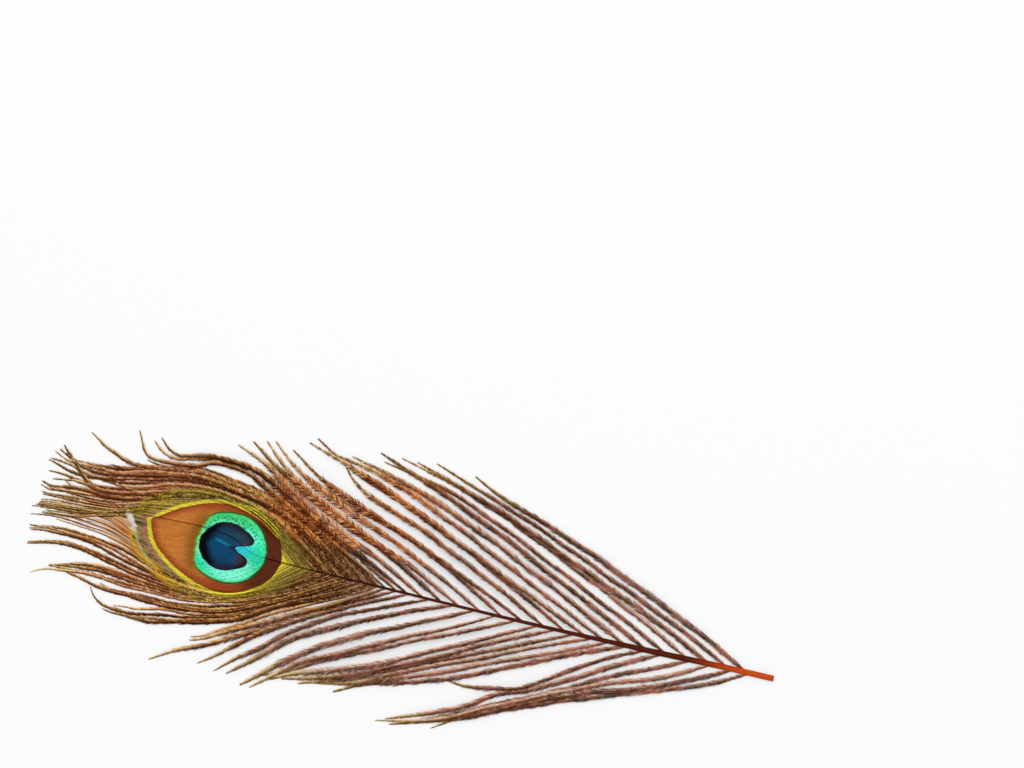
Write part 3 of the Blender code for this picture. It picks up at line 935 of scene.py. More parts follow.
def fullWidths(values, side, fullness, share):
    # Half the core's width and the barbules' length, at a share of the way to a barb's tip
    swell = math.sin(math.pi / 2 * min(1.0, share * values["swellRate"]))
    size = fullness * (0.8 + values["swell"] * swell)
    taper = min(1.0, (1.0 - share) / values["taper"]) ** 0.8
    coreTip, combTip = values["tipWidth"], values["tipReach"]
    atRoot, growing = values["rootReach"]
    core = values["halfWidth"] * size * (coreTip + (1 - coreTip) * taper)
    comb = values["reach"][side] * size * (combTip + (1 - combTip) * taper)
    return core, comb * min(1.0, atRoot + share * growing)


# Loose barbs. A row reads x, y, x, y from a barb's root on the shaft to its tip, in mm

looseRows = {
    "lower": (
        (-9, -0.7, -26, -9.4, -50, -18, -75, -27.2, -95, -35.4, -110, -42, -118.6, -47.5),
        (-15, -0.7, -30, -8.2, -48, -15.8, -68, -22.4, -90, -32.2, -108, -41, -134, -49.8),
        (-24, -1, -40, -9.4, -60, -16.6, -80, -25.6, -100, -35.2, -118, -44.2, -139.4, -49.6),
        (-31, -1, -45, -7.6, -60, -14.4, -76, -23.2, -95, -32.3, -112, -40.8, -129, -48),
        (-42, -1.2, -55, -7.7, -70, -16.3, -85, -24.6, -98, -29.8, -112, -38.6, -136, -48.2),
        (-48, -1.2, -60, -6.4, -75, -15.5, -90, -25.2, -100, -27.9, -110, -29.5, -116.9, -29.2),
        (-55, -1.2, -70, -7.2, -90, -16.2, -110, -25.6, -130, -33, -146, -37.2, -157, -42.9),
        (-62, -1.2, -80, -9.3, -100, -17.6, -120, -26.5, -140, -34.2, -152, -38.4, -163.9, -41.3),
        (-68, -1.2, -85, -7.9, -105, -16.9, -125, -25.6, -140, -32.6, -148, -36.4, -157, -40.2),
        (-75, -1.2, -90, -8, -110, -17.2, -130, -26.3, -145, -33.6, -158, -38.6, -170.2, -42.8),
        (-82, -1.2, -100, -9.3, -120, -19.8, -140, -29.7, -155, -36.2, -167, -40.1, -176.7, -42.6),
        (-89, -1.2, -105, -9.3, -125, -19.4, -145, -29.5, -160, -35.3, -172, -39.4, -181, -43.8),
        (-97, -1.2, -115, -9.7, -135, -18.8, -150, -26.1, -165, -33.2, -175, -39.1, -184.4, -43.3),
        (-105, -1.2, -120, -9.3, -140, -18.8, -160, -29.4, -172, -35.4, -180, -42, -187.6, -48.4),
        (-113, -1.2, -130, -9.3, -150, -18.8, -165, -27.2, -177, -35.8, -185, -42.9, -191.2, -48.3),
        (-121, -1.2, -140, -8.9, -160, -18.6, -175, -26.6, -184, -34, -191, -40.3, -197, -45.3),
        (-130, -1.2, -150, -9.7, -165, -16.7, -178, -25.3, -187, -33.2, -195, -39.3, -201.8, -45.5),
        (-138, -1.2, -155, -9, -170, -16.7, -185, -25.6, -196, -34.2, -203, -40.2, -208.2, -44.1),
        (-143, -1.2, -160, -10, -178, -20.4, -193, -29.4, -206, -36.6, -217, -41.4, -226, -46.8),
        (-147, -1.2, -165, -11.6, -182, -20.6, -193, -26.4, -203, -31.8, -208, -34.6, -212.9,
         -36.6),
    ),
    "upper": (
        (-10, -0.7, -28, 8, -52, 18.2, -78, 28.8, -98, 36, -114, 41.6, -124, 46.4),
        (-17, -0.7, -34, 7.6, -56, 17, -78, 26, -100, 34.6, -120, 41.4, -139, 47.8),
        (-24, -1, -42, 8, -62, 16.6, -84, 25.6, -104, 33.6, -122, 39.6, -146, 46.6),
        (-32, -1, -48, 6.8, -66, 14.8, -86, 23.4, -108, 32.8, -130, 41, -152, 46.8),
        (-40, -1.2, -56, 6.6, -74, 14.6, -94, 23.6, -114, 32.2, -134, 39.4, -158, 44),
        (-48, -1.2, -64, 6.8, -84, 16.2, -104, 25.6, -124, 34, -142, 40.6, -160, 46.8),
        (-56, -1.2, -74, 6.8, -94, 15.6, -114, 24.4, -134, 32.4, -152, 38.4, -170, 43.2),
        (-64, -1.2, -82, 7, -102, 16, -122, 25, -142, 33.4, -160, 39.4, -178, 42.6),
        (-71, -1.2, -88, 6.6, -108, 15.6, -128, 24.4, -148, 32.6, -166, 38.8, -186.4, 44.4),
        (-79, -1.2, -96, 7, -116, 16.4, -136, 25.2, -156, 33.2, -172, 39.6, -184, 46.6),
        (-87, -1.2, -104, 7.4, -122, 15.6, -140, 23.4, -158, 29.4, -167, 34.2, -171.6, 38.8),
        (-95, -1.2, -112, 7.2, -130, 15.2, -148, 22.2, -166, 28.2, -180, 33.6, -192, 40.4),
        (-103, -1.2, -120, 7.4, -138, 15.8, -154, 21.6, -170, 25.6, -180, 29.6, -187.6, 33.2),
        (-111, -1.2, -128, 7.4, -144, 14.6, -160, 21, -176, 27, -190, 34.8, -199, 42),
        (-119, -1.2, -136, 7.6, -150, 13.6, -166, 19.8, -180, 25.8, -192, 32.8, -202, 41.2),
        (-126, -1.2, -142, 7, -156, 13.2, -170, 19, -184, 25.2, -195, 31.6, -207, 40),
        (-133, -1.2, -150, 7.6, -164, 13.4, -178, 19.6, -190, 26.2, -200, 32.8, -212, 37.6),
        (-139, -1.2, -156, 7.6, -174, 16, -190, 24.4, -200, 29.6, -208, 31.3, -218, 31.6, -224,
         31.1, -229, 29.8, -233, 29.2, -237, 30.6, -240.3, 33.4),
        (-143, -1.2, -158, 6.4, -172, 13.4, -185, 20.2, -194, 25, -203, 29, -210, 30.5, -218, 30.4,
         -226, 28.9, -234, 27.4, -239, 28.8, -242.5, 31.7),
        (-147, -1.2, -162, 6.6, -176, 13.4, -190, 20.4, -200, 25.6, -207, 28.4, -213, 29.4, -219,
         29.3, -226, 26.6, -233, 25.5, -241, 25.4, -245, 27.2, -249, 34.2),
    ),
}

looseBarbs = {
    "rows": looseRows,
    "step": 1.3,
    "halfWidth": 0.22,
    "reach": {"lower": 2.65, "upper": 2.65},
    "swell": 0.26,  # how much fuller a barb gets on its way, and how soon
    "swellRate": 1.7,
    "taper": 0.2,  # share of a barb that narrows to the tip
    "tipWidth": 0.14,
    "tipReach": 0.22,
    "rootReach": (0.5, 9.0),  # share of the reach at the root, and how fast it grows from there
    "tipHeight": 0.42,
    "lifts": (0.5, 1.05, 1.6),  # how high the barbs arch, in three layers
    "wander": 0.15,
    "wave": (18.0, 34.0),  # lengths over which a barb wanders
    "gather": {"lower": 0.2, "upper": 1.2},  # how far barbs lean towards the middle one of three
    "seed": 7,
}

looseGrowth = {
    "Core Flatness": 0.6,
    "Core Sides": 6,
    "Core Sheen": -0.4,
    "Barbule Spacing": 0.21 * mm,
    "Barbule Width": 0.28 * mm,
    "Barbule Thickness": 0.1 * mm,
    "Barbule Angle": 0.4,
    "Barbule Droop": -0.04,
    "Tuft Frequency": 0.35,
    "Cluster Frequency": 0.9,
    "Seed": 5,
}


def looseStrands(side, values, chance):
    strands = []
    for i, row in enumerate(values["rows"][side]):
        flat = evenPath(inPairs(row), values["step"])
        rootHeight = shaftHeight(row[0])
        lift = values["lifts"][i % 3]
        wave = chance.uniform(*values["wave"])
        phase = chance.uniform(0.0, math.tau)
        gather = values["gather"][side] * (1 - i % 3) * chance.uniform(0.4, 1.1)
        fullness = chance.uniform(0.85, 1.12)
        points = []
        for k, place in enumerate(flat):
            share = k / (len(flat) - 1)
            fall = rootHeight + (values["tipHeight"] - rootHeight) * share ** 1.3
            sway = values["wander"] * math.sin(phase + k * values["step"] * math.tau / wave)
            sway = (sway + gather) * math.sin(math.pi * share)
            spot = Vector((place.x + 0.4 * sway, place.y + sway,
                           fall + lift * math.sin(math.pi * share)))
            points.append((spot, *fullWidths(values, side, fullness, share)))
        strands.append({"points": points, "tone": chance.random(), "streak": chance.random()})
    return strands


growBothSides("LooseBarbs", looseStrands, looseBarbs, looseGrowth, looseMaterial)


# Outer barbs of the vane. A row starts with the root's x, and then reads x, y, x, y, in mm

vaneRows = {
    "lower": (
        (-150, -172, -13, -180, -17, -186, -20.1, -192, -23.9, -196, -26.4, -200, -28.9, -204, -31,
         -208, -33.1, -213, -35.4),
        (-152, -172, -12, -180, -15.2, -184, -17, -188, -19.4, -192, -22, -196, -24.5, -200, -26.3,
         -204, -27.5, -208, -28.6, -212, -29.7, -216, -30.7, -220, -31.5, -224, -32.4, -228, -33.2,
         -234, -33.6, -240, -33.7, -243.3, -33.6, -247, -32.6),
        (-154.2, -180, -14.3, -188, -18.6, -192, -21.1, -196, -23.5, -200, -25.4, -206, -27.2, -212,
         -28.8, -216, -29.8, -220, -30.6, -224, -31.4, -228, -32.1, -234, -32.8, -240, -33, -243.6,
         -32.4),
        (-156.2, -188, -17.7, -196, -22.6, -200, -24.6, -206, -26.3, -212, -27.9, -218, -29, -224,
         -29.9, -228, -30.6, -234, -31.6, -240, -32.3, -245, -32.2, -248, -31.2, -250.4, -29.6,
         -252.3, -27.7, -253.3, -26.2),
        (-158, -196, -21.7, -200, -23.7, -206, -25.4, -212, -26.7, -218, -27.4, -224, -27.9, -228,
         -28.4, -232, -29, -236, -29.9, -240, -30.6, -243.3, -31.1),
        (-159.8, -196, -20.8, -200, -22.6, -206, -24.3, -212, -25.5, -218, -26.3, -224, -26.5, -230,
         -26.6, -236, -26.5, -240, -26.1, -246, -25.8, -252, -25.1, -258, -24, -262, -23.2, -267.5,
         -21.4),
        (-161.4, -196, -19.8, -200, -21.6, -206, -23.4, -212, -24.6, -218, -25.4, -224, -25.7, -230,
         -25.8, -236, -25.7, -242, -25.2, -246, -24.8, -250, -24.3),
        (-163, -196, -18.8, -200, -20.5, -204, -21.5, -208, -22.7, -212, -23.5, -218, -24.4, -224,
         -24.9, -230, -25, -236, -25.1, -241, -25.4, -248, -25, -255, -24.5, -262, -22.9),
        (-164.6, -196, -17.4, -200, -18.7, -204, -19.9, -208, -21, -212, -21.8, -216, -22.3, -222,
         -22.8, -228, -22.9, -234, -22.8, -240, -22.8, -246, -22.3, -252, -21.9, -258, -21.6, -264,
         -22, -270.8, -23.5, -276.2, -26),
        (-166, -200, -18, -208, -20.2, -216, -21.6, -224, -22.1, -232, -22.1, -240, -22.2, -248,
         -21.6, -256, -21.2, -262, -21.6, -270, -22.3),
        (-167.4, -208, -19.6, -216, -20.9, -224, -21.4, -232, -21.1, -240, -20.4, -248, -19.8, -256,
         -19.6, -262, -20, -270, -22),
        (-168.8, -208, -19, -216, -20.2, -224, -20.6, -232, -20.3, -240, -19.7, -248, -19.1, -256,
         -18.9, -262, -19.4, -269.8, -21.6),
        (-170.2, -208, -18.5, -216, -19.4, -224, -19.9, -232, -19.5, -240, -18.9, -248, -18.2, -254,
         -18, -260, -18.5, -267, -20.4),
        (-171.6, -216, -18.8, -224, -19.2, -232, -18.7, -240, -17.6, -246, -16.2, -252, -14.8, -258,
         -13.6, -264, -13.2, -272, -13.6, -279.8, -15.2),
        (-173, -216, -18.2, -224, -18.2, -232, -17.4, -240, -16.4, -246, -15, -252, -13.6, -258,
         -12.7, -266, -12.5, -274, -13.6, -279.6, -14.6),
        (-174.4, -212, -18, -218, -17.9, -225, -17.4, -232, -16.2, -240, -14.4, -246, -12.9, -250,
         -11.8, -254, -10.8, -258, -10, -262, -9.5, -268, -9.1, -274, -9.4, -279.6, -10.8),
        (-175.8, -210, -17.6, -216, -17.6, -223, -17.1, -230, -15.9, -236, -14.2, -240, -12.9, -246,
         -11.2, -250, -10.2, -256, -9.1, -262, -8.6, -268, -8.4, -274, -8.8, -280.4, -10.1),
        (-177.2, -208, -17.1, -214, -17.2, -221, -16.6, -228, -15.2, -234, -13.3, -240, -11.4, -246,
         -9.7, -250, -8.9, -256, -8.2, -262, -7.9, -268, -7.8, -274, -7.9, -280.4, -8.5),
    ),
    "upper": (
        (-149, -172, 12.4, -180, 16.8, -188, 20.8, -194, 22.6, -200, 24.2, -204, 26.3),
        (-150.5, -174, 12.6, -182, 17, -190, 20.4, -197, 21.9, -204, 23.5, -210, 24.3, -216, 25.1,
         -222, 25.7, -228, 25.9, -234, 25.4, -240, 25, -243.6, 26, -246.4, 28.6),
        (-153, -184, 16.6, -192, 19.8, -198, 21, -204, 22.3, -210, 23.3, -216, 24.2, -222, 24.7,
         -228, 24.6, -234, 23.8, -240, 22.8, -245, 22, -250, 22.1, -255, 23.5, -260, 25.6, -262.5,
         27.4, -265.8, 29.8),
        (-155.5, -192, 18.9, -198, 20.1, -204, 21.4, -210, 22.4, -216, 23.3, -222, 23.8, -228, 23.6,
         -234, 22.8, -240, 21.6, -246, 20.3, -252, 18.9, -258, 18, -264, 17.9, -270, 18.6, -275.8,
         20.9),
        (-158, -198, 19.4, -204, 20.6, -210, 21.6, -216, 22.5, -222, 23, -228, 22.7, -234, 21.8,
         -240, 20.6, -246, 19.2, -252, 17.8, -258, 17.1, -264, 17, -269, 17.6, -273, 18.2, -277.4,
         19.8),
        (-160.5, -198, 18.7, -204, 19.8, -210, 20.8, -216, 21.7, -222, 22.1, -228, 21.7, -234, 20.7,
         -240, 19.4, -246, 17.9, -252, 16.6, -258, 16, -264, 16.2, -268, 16.8, -271, 17.8, -274.4,
         21.6),
        (-163, -198, 18, -204, 19.1, -210, 20.1, -216, 20.9, -222, 21.2, -228, 20.7, -234, 19.6,
         -240, 18, -246, 16.6, -252, 15.3, -258, 14.5, -263, 14.3, -268, 15.2, -272, 16, -278.5,
         17.1),
        (-165.5, -198, 17.3, -204, 18.4, -210, 19.4, -216, 20.1, -222, 20.3, -228, 19.7, -234, 18.4,
         -240, 16.6, -246, 15.1, -252, 14.2, -258, 13.7, -264, 13.3, -270, 14.1, -279, 15.7),
        (-168, -204, 17.7, -210, 18.7, -216, 19.3, -222, 19.4, -228, 18.7, -234, 17.2, -240, 15.3,
         -246, 13.9, -252, 13, -257, 12.8),
        (-170.5, -204, 17.1, -210, 18, -216, 18.6, -222, 18.5, -228, 17.7, -234, 16.1, -240, 14.1,
         -246, 12.6, -252, 11.5, -258, 11, -262, 11.2, -270, 11.6, -278, 12.2),
        (-173, -210, 17.3, -216, 17.9, -222, 17.7, -228, 16.8, -234, 15, -240, 12.9, -246, 11.4,
         -252, 10.3, -258, 9.9, -264, 10.3, -268, 10.6, -272, 10.2, -276, 10),
        (-174.5, -210, 16.9, -216, 17.5, -222, 17.3, -228, 16.3, -234, 14.5, -240, 12.3, -246, 10.8,
         -252, 9.9, -257, 9.6, -260, 10.1, -264, 12.4, -268, 15.6, -271, 18.4, -274.8, 22.4),
        (-176, -210, 16.6, -216, 17.2, -222, 16.9, -228, 15.9, -234, 14, -240, 11.8, -246, 10.2,
         -252, 9.1, -258, 8.7, -263, 9.1, -268, 9, -271.5, 10.1),
        (-179, -210, 16, -216, 16.5, -222, 16.1, -228, 15, -234, 13, -240, 10.8, -248, 8.7, -254,
         8.1, -262, 8, -270, 7.9, -276, 7.5, -279.5, 8.2),
    ),
}

vaneBarbs = {
    "rows": vaneRows,
    "step": 1.3,
    "leave": 0.66,  # how steeply a barb leaves the shaft
    "halfWidth": 0.25,
    "reach": {"lower": 2.0, "upper": 2.45},
    "swell": 0.25,
    "swellRate": 2.0,
    "taper": 0.14,
    "tipWidth": 0.16,
    "tipReach": 0.24,
    "rootReach": (0.6, 10.0),
    "tipHeight": 0.4,
    "height": 0.95,
    "wander": 0.05,
    "wave": (16.0, 30.0),
    "streaks": (0.9, 0.15, 0.5, 0.05),
    "seed": 23,
    # between which roots a shorter barb grows halfway between two others, and how long it may be
    "filled": {"lower": ((-149.0, -162.0, 0.3, 0.5), (-162.0, -177.0, 0.35, 0.55)),
               "upper": ((-148.0, -179.0, 0.5, 0.88),)},
}

vaneBarbGrowth = {
    "Core Flatness": 0.6,
    "Core Sides": 6,
    "Core Sheen": -0.4,
    "Barbule Spacing": 0.225 * mm,
    "Barbule Width": 0.3 * mm,
    "Barbule Thickness": 0.09 * mm,
    "Barbule Angle": 0.36,
    "Barbule Droop": -0.03,
    "Tuft Frequency": 0.4,
    "Cluster Frequency": 1.4,
    "Seed": 47,
}


def leaveShaft(root, points, steepness):
    # Leads a barb from its root in one even sweep to the first of its places: a cubic curve that
    # starts off at the given steepness and arrives in line with the place after that
    sign = 1.0 if points[0][1] > 0 else -1.0
    start = Vector((root, readBetween(shaft["line"], root, 1)))
    end, following = Vector(points[0]), Vector(points[1])
    span = (end - start).length
    away = Vector((-1.0, sign * steepness)).normalized() * span
    along = (following - end).normalized() * span
    sweep = []
    count = 6
    for i in range(count):
        t = i / count
        sweep.append((2 * t ** 3 - 3 * t ** 2 + 1) * start + (t ** 3 - 2 * t ** 2 + t) * away
                     + (3 * t ** 2 - 2 * t ** 3) * end + (t ** 3 - t ** 2) * along)
    return [(place.x, place.y) for place in sweep] + list(points)


def vanePaths(side, values, chance):
    # The path of every barb: the rows themselves, and shorter ones halfway between them
    rows = values["rows"][side]
    curves = [densePath(leaveShaft(row[0], inPairs(row[1:]), values["leave"])) for row in rows]
    paths = [sampled(curve, 60) for curve in curves]
    for first, last, least, most in values["filled"][side]:
        for row, near, far in zip(rows, curves, curves[1:]):
            if last < row[0] < first:
                cut = chance.uniform(least, most)
                paths.append([place.lerp(other, 0.5) for place, other
                              in zip(sampled(near, 40, cut), sampled(far, 40, cut))])
    return paths


def vaneBarbStrands(side, values, chance):
    strands = []
    for i, places in enumerate(vanePaths(side, values, chance)):
        flat = evenPath(places, values["step"])
        level = chance.uniform(-0.2, 0.2)
        fullness = chance.uniform(0.8, 1.1)
        wave = chance.uniform(*values["wave"])
        phase = chance.uniform(0.0, math.tau)
        points = []
        for k, place in enumerate(flat):
            share = k / (len(flat) - 1)
            sway = values["wander"] * math.sin(phase + k * values["step"] * math.tau / wave)
            sway *= 1.0 + 8.0 * share ** 4
            fall = values["height"] + (values["tipHeight"] - values["height"]) * share ** 1.5
            spot = Vector((place.x, place.y + sway, fall + level * math.sin(math.pi * share)))
            points.append((spot, *fullWidths(values, side, fullness, share)))
        streak = values["streaks"][i % 4] + chance.uniform(-0.15, 0.15)
        strands.append({"points": points, "tone": chance.random(), "streak": streak})
    return strands


growBothSides("VaneBarbs", vaneBarbStrands, vaneBarbs, vaneBarbGrowth, eyeMaterial)


# Inner barbs: they sweep off the shaft, run flat through the eye and fray into the fringe

vane = {
    "firstRoot": {"lower": -176.4, "upper": -176.6},
    "lastRoot": -240.5,
    "rootSteps": ((-172, 1.4), (-186, 1.4), (-191, 1.1), (-200, 0.85), (-241, 0.62)),
    "slope": {"lower": 0.85, "upper": 0.95},
    "squeezeStart": -212.0,
    "squeeze": {"lower": 0.3, "upper": 0.5},  # how much closer the barbs are at the hand-over
    "handOver": -240.0,  # where the fringe takes over
    "step": 1.2,
    "sweepStep": 3.0,
    "fringePoints": 12,
    "underShaft": 0.8,  # how far back under the shaft a barb starts, so that its root is covered
    "overlap": 1.28,  # width of a barb against the room that it has
    "leastHalfWidth": 0.17,
    "strandsPerGuide": {"lower": 4, "upper": 2},
    "fringeHalfWidth": {"lower": 0.23, "upper": 0.34},
    "fringeReach": {"lower": 1.3, "upper": 1.8},
    "stubs": {"lower": (0.1, 0.26), "upper": (0.15, 0.6)},  # how far most barbs get in the fringe
    "seconds": (0.35, 0.8),  # and how far the best of every other strand below gets
    "pull": 7,  # how fast a barb joins its strand
    "drift": {"lower": 0.3, "upper": 0.7},
    "sway": 0.3,
    "fray": 4.0,  # the barbs come apart from this far before the hand-over to as far behind it
    "thinning": {"lower": 14.0, "upper": 8.0},
    "bare": {"lower": 0.9, "upper": 0.0},  # how bare the fringe is before it opens out
    "opening": (-262.0, -252.0),
    "height": 0.55,
    "fringeHeight": 0.38,
    "taperLength": 12.0,
    "seed": 19,
    # where a barb would end up across the feather, against its root
    "ends": {
        "lower": ((-172, -18.4), (-179, -17.9), (-190, -15.2), (-200, -12.0), (-210, -8.2),
                  (-220, -3.5), (-230, 1.3), (-241, 4.0)),
        "upper": ((-180, 17.4), (-190, 15.8), (-200, 13.8), (-210, 11.5), (-220, 9.0),
                  (-230, 7.0), (-241, 4.8)),
    },
    # strands of the fringe, from the outermost to the shaft, each reading x, y, x, y
    "fringe": {
        "lower": (
            (-240, -12, -245, -10, -250, -8.4, -255, -7.2, -260, -6.4, -266, -6),
            (-240, -10.1, -246, -8, -250, -7, -254, -6.2, -258, -5.6, -264, -4.9, -271.5, -4.8),
            (-240, -8.9, -246, -6.8, -252, -5.3, -258, -4.6, -262, -4.2, -268, -3.7, -274, -4, -281,
             -5.2),
            (-240, -7.6, -246, -5.5, -252, -3.9, -258, -3.2, -264, -2.7, -270, -3.2, -277, -3.6),
            (-240, -6.3, -246, -4.1, -252, -2.2, -258, -1.6, -264, -1.9, -270, -2.4, -277, -2.6),
            (-240, -4.9, -246, -2.7, -252, -0.6, -258, -0.2, -266, -1.3, -276, -1.9),
            (-240, -3.2, -246, -1.2, -250, 0.2, -254, 1, -260, 0.6, -268, -0.6, -278, -1.4),
            (-240, -1, -245, 0.6, -249, 1.6, -254, 1.9, -262, 1.2, -270, 0.3, -278.5, -0.6),
            (-240, 1.4, -245, 1.9, -250, 2.2, -256, 1.9, -262, 1.4, -270, 0.6, -279, -0.2),
            (-240, 3.8, -245, 3.1, -250, 2.7, -256, 2.1, -262, 1.6, -270, 0.9, -279, 0.2),
        ),
        "upper": (
            (-240, 10.6, -248, 8, -254, 7.3, -262, 7.2, -270, 7.1, -276, 6.5, -278.2, 7.4),
            (-240, 9.5, -248, 6.8, -254, 5.9, -260, 5.6, -266, 5.6, -272, 5.4, -278, 4.9, -279.6,
             5.8),
            (-240, 8.5, -246, 6.3, -252, 5, -258, 4.4, -264, 4.3, -270, 4.4, -278, 4.4),
            (-240, 7.6, -246, 5.4, -252, 3.9, -258, 3, -264, 2.5, -270, 2.5, -274, 2.4, -278.2,
             1.6),
            (-240, 6.7, -246, 4.7, -250, 3.4, -256, 2.1, -262, 1.5, -268, 1.1, -274, 0.6, -278.5,
             0.2),
            (-240, 5.8, -246, 4, -254, 1.5, -260, 0.8, -268, 0.2, -276, -0.6, -281, -1.4),
            (-240, 4.8, -246, 3.2, -252, 1.5, -258, 0.2, -264, -1.2, -270, -1.9, -275, -2.2),
        ),
    },
}

vaneGrowth = {
    "Core Flatness": 0.15,
    "Core Sides": 4,
    "Core Sheen": -1.0,
    "Core Smooth": False,
    "Barbule Spacing": 0.3 * mm,
    "Barbule Width": 0.24 * mm,
    "Barbule Thickness": 0.1 * mm,
    "Barbule Angle": 0.3,
    "Barbule Droop": 0.02,
    "Tuft Frequency": 0.5,
    "Cluster Frequency": 1.0,
    "Seed": 31,
}


def fringeSpread(guides, startY):
    # The two strands that a barb starts between, and how far it lies from the first
    starts = [points[0][1] for points in guides]
    for k, (near, far) in enumerate(zip(starts, starts[1:])):
        if min(near, far) <= startY <= max(near, far):
            return k, (startY - near) / (far - near)
    if abs(startY - starts[0]) < abs(startY - starts[-1]):
        return 0, 0.0
    return len(starts) - 2, 1.0


def sweepAcross(side, values, root, x):
    # Where a barb of the vane lies across the feather, at x
    sign = -1.0 if side == "lower" else 1.0
    rootY = readBetween(shaft["line"], root, 1)
    if x >= root:
        return rootY
    spread = max(0.3, sign * (readBetween(values["ends"][side], root, 1) - rootY))
    s = (root - x) * values["slope"][side] / spread
    y = rootY + sign * spread * s / (1 + s ** 3) ** (1 / 3)
    closing = between(x, values["squeezeStart"], values["handOver"]) ** 1.6
    middle = readBetween(shaft["line"], x, 1)
    return middle + (y - middle) * (1 - values["squeeze"][side] * closing)


def packedHalfWidth(side, values, root, x):
    # Half the room that a barb has between its neighbours, and a little more
    rootStep = readBetween(values["rootSteps"], root, 1)
    inner = sweepAcross(side, values, root - rootStep, x)
    here = sweepAcross(side, values, root, x)
    outer = sweepAcross(side, values, root + rootStep, x)
    slope = abs(here - sweepAcross(side, values, root, x - 1.0))
    room = abs(outer - here) if x > root - rootStep else abs(outer - inner) / 2
    return max(values["leastHalfWidth"], values["overlap"] / 2 * room / math.hypot(1.0, slope))


def barbRoots(side, values):
    roots = []
    root = values["firstRoot"][side]
    while root > values["lastRoot"]:
        roots.append(root)
        root -= readBetween(values["rootSteps"], root, 1)
    return roots


def vaneStrands(side, values, chance):
    inFan = side == "lower"
    handOver = values["handOver"]
    guides = [inPairs(row) for row in values["fringe"][side]]
    curves = [densePath(points) for points in guides]
    roots = barbRoots(side, values)
    starts = [sweepAcross(side, values, root, handOver) for root in roots]
    spots = [fringeSpread(guides, startY) for startY in starts]
    # Barbs gather into strands, and the barb closest to each strand's middle goes all the way
    share = values["strandsPerGuide"][side]
    gathered = [round(sum(spot) * share) / share for spot in spots]
    away = [abs(sum(spot) - place) for spot, place in zip(spots, gathered)]
    leaders = {}
    for i, place in enumerate(gathered):
        if place not in leaders or away[i] < away[leaders[place]]:
            leaders[place] = i
    strands = []
    for i, root in enumerate(roots):
        start = root + values["underShaft"]
        line = [(start, readBetween(shaft["line"], start, 1))]
        x = root
        while x > handOver:
            line.append((x, sweepAcross(side, values, root, x)))
            x -= values["sweepStep"]
        k, share = spots[i]
        near, far = curves[k], curves[k + 1]
        target = gathered[i] - k
        if i not in leaders.values():
            reachEnd = chance.uniform(*values["stubs"][side])
        elif inFan and gathered[i] % 1:
            reachEnd = chance.uniform(*values["seconds"])
        else:
            reachEnd = 1.0
        drift = chance.uniform(-values["drift"][side], values["drift"][side])
        phase = chance.uniform(0.0, math.tau)
        atStart = pointAlong(*near, 0.0).lerp(pointAlong(*far, 0.0), share)
        for j in range(values["fringePoints"] + 1):
            t = j / values["fringePoints"] * reachEnd
            pull = share + (target - share) * min(1.0, t * values["pull"])
            place = pointAlong(*near, t).lerp(pointAlong(*far, t), pull)
            sway = values["sway"] * math.sin(phase + 8.0 * t) * t
            line.append((place.x, place.y + (starts[i] - atStart.y) * (1 - t) + drift * t + sway))
        flat = evenPath(line, values["step"])
        level = chance.uniform(-0.12, 0.12)
        points = []
        length = len(flat) - 1
        frayStart = handOver + values["fray"]
        for n, place in enumerate(flat):
            frayed = between(place.x, frayStart, handOver - values["fray"])
            height = values["height"] + 0.1 * (1 - min(1.0, (root - place.x) / 9.0))
            height += (values["fringeHeight"] - height) * frayed * 0.5
            height += level * (min(0.3, 0.05 * n) + frayed)
            ribbon = packedHalfWidth(side, values, root, max(place.x, handOver))
            thinned = between(place.x, frayStart, frayStart - values["thinning"][side])
            width = ribbon + (values["fringeHalfWidth"][side] - ribbon) * thinned
            taper = min(1.0, (1.0 - n / length) * length * values["step"]
                        / values["taperLength"]) ** 0.7
            full = 1 - values["bare"][side] * between(place.x, *values["opening"])
            points.append((Vector((place.x, place.y, height)), width * (0.2 + 0.8 * taper),
                           values["fringeReach"][side] * frayed * full * (0.35 + 0.65 * taper)))
        streak = chance.uniform(0.0, 0.3) if i % 2 else chance.uniform(0.7, 1.0)
        strands.append({"points": points, "tone": chance.random(), "streak": streak})
    return strands


growBothSides("Vane", vaneStrands, vane, vaneGrowth, eyeMaterial)


# The shaft: tapering, with a groove underneath and pith at the cut

shaftLook = {
    "colourLength": 245.0,  # mm of the shaft that its colours are spread over
    "grainLength": 0.12,
    "grainWidth": 4000.0,
    "specular": 0.03,
    "bump": 0.25,
    "bumpDepth": 0.1 * mm,
    "shade": (0.22, 0.2, 0.16, 1.0),  # how much darker than the barbs it is in the eye
}

shaftColours = {
    "quill": (206, 78, 18),
    "red": (82, 26, 8),
    "dark": (42, 14, 4),
}


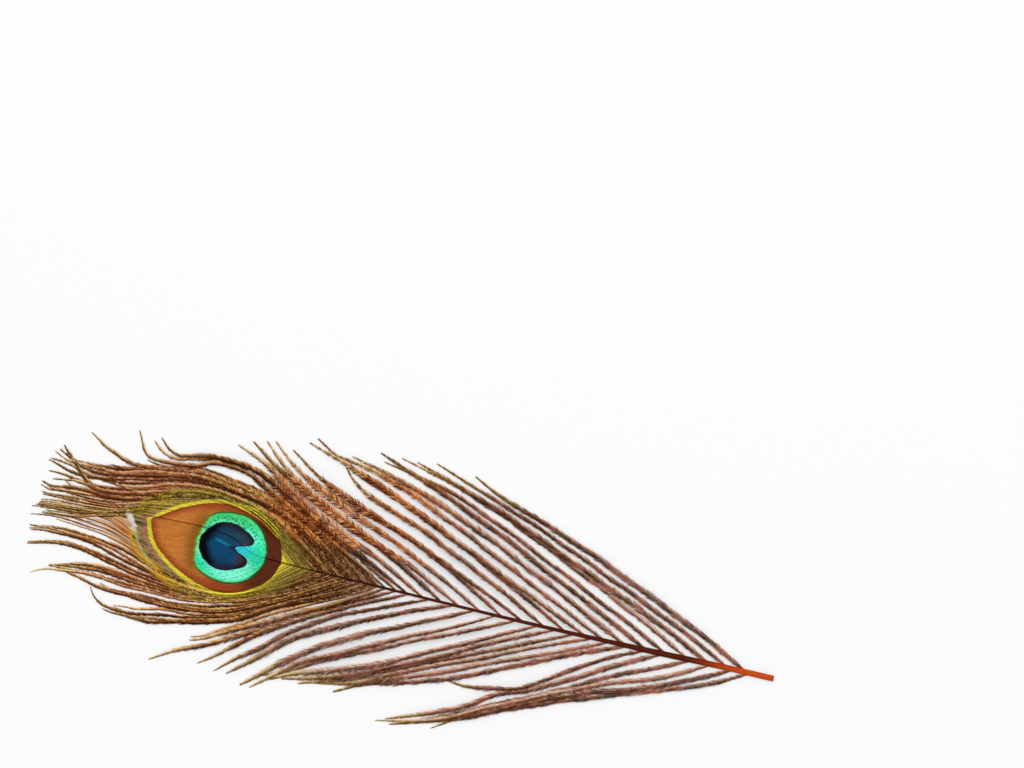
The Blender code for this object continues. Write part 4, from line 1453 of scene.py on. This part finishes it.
def shaftMaterial(colours, values):
    hue = shaderColours(colours)
    material, tree, shader = newMaterial("shaft keratin")
    place = output(addNode(tree, "ShaderNodeTexCoord"), "Object")
    along, across, up = separate(place)
    x = along * (1 / mm) + middleX
    colour = colourRamp(x * (-1 / values["colourLength"]), [
        (0.0, hue.quill), (0.05, hue.quill), (0.13, hue.red), (0.52, hue.red), (0.66, hue.dark),
        (1.0, hue.dark)])
    stretched = joinVector(x * values["grainLength"], across * values["grainWidth"],
                           up * values["grainWidth"])
    grain = noise(stretched, 1.0, 3.0, 0.6)
    colour = mixColour(stepUp(grain, 0.4, 0.7) * 0.4, colour, hue.dark)
    eye = addNode(tree, "ShaderNodeGroup", {"Place": place, "Barb Colour": colour},
                  node_tree=eyePattern)
    pattern = output(eye, "Colour")
    inDisc = stepUp(x, -205.0, -202.0) * stepDown(x, -195.0, -191.0)
    darker = mixColour(inDisc * 0.7, mixColour(1.0, pattern, values["shade"], "MULTIPLY"), pattern)
    link(mixColour(output(eye, "Inside"), colour, darker), shader.inputs["Base Color"])
    link(mixValue(grain, 0.35, 0.55), shader.inputs["Roughness"])
    shader.inputs["Specular IOR Level"].default_value = values["specular"]
    bump = addNode(tree, "ShaderNodeBump", {"Strength": values["bump"],
                                            "Distance": values["bumpDepth"], "Height": grain})
    link(output(bump), shader.inputs["Normal"])
    return material


def makeShaft(values, material):
    work = bmesh.new()
    grooveDepth, grooveWidth = values["groove"]
    pithEdge, pithDepth = values["pith"]
    path = evenPath([row[:2] for row in values["line"]], values["step"])
    rings = []
    for i, place in enumerate(path):
        ahead = path[min(i + 1, len(path) - 1)] - path[max(i - 1, 0)]
        across = Vector((-ahead.y, ahead.x, 0.0)).normalized()
        half = readBetween(values["line"], place.x, 2) / 2
        height = shaftHeight(place.x)
        ring = []
        for k in range(values["sides"]):
            turn = math.tau * k / values["sides"]
            out = half * math.cos(turn)
            up = half * math.sin(turn) * values["seat"]
            if up < 0:
                up += grooveDepth * half * max(0.0, 1 - abs(out) / (grooveWidth * half))
            spot = place + across * out
            ring.append(work.verts.new(rowPoint(spot.x, spot.y, height + up)))
        rings.append(ring)
    count = values["sides"]
    for ring, following in zip(rings, rings[1:]):
        for k in range(count):
            work.faces.new((ring[k], ring[(k + 1) % count], following[(k + 1) % count],
                            following[k]))
    # The cut: a keratin wall round sunken pith
    rim = [vertex.co.copy() for vertex in rings[0]]
    centre = sum(rim, Vector()) / count
    sunken = Vector((-pithDepth, 0.0, 0.0))
    wall = [work.verts.new(centre.lerp(place, values["wall"])) for place in rim]
    pith = [work.verts.new(centre.lerp(place, pithEdge) + sunken) for place in rim]
    for outer, inner in ((rings[0], wall), (wall, pith)):
        for k in range(count):
            work.faces.new((outer[(k + 1) % count], outer[k], inner[k], inner[(k + 1) % count]))
    work.faces.new(list(reversed(pith)))
    work.faces.new(rings[-1])
    bmesh.ops.recalc_face_normals(work, faces=work.faces)
    mesh = bpy.data.meshes.new("shaft")
    work.to_mesh(mesh)
    work.free()
    mesh.materials.append(material)
    mesh.shade_smooth()
    piece = bpy.data.objects.new("shaft", mesh)
    bpy.context.scene.collection.objects.link(piece)
    finishPiece(piece)
    print("shaft made")


makeShaft(shaft, shaftMaterial(shaftColours, shaftLook))
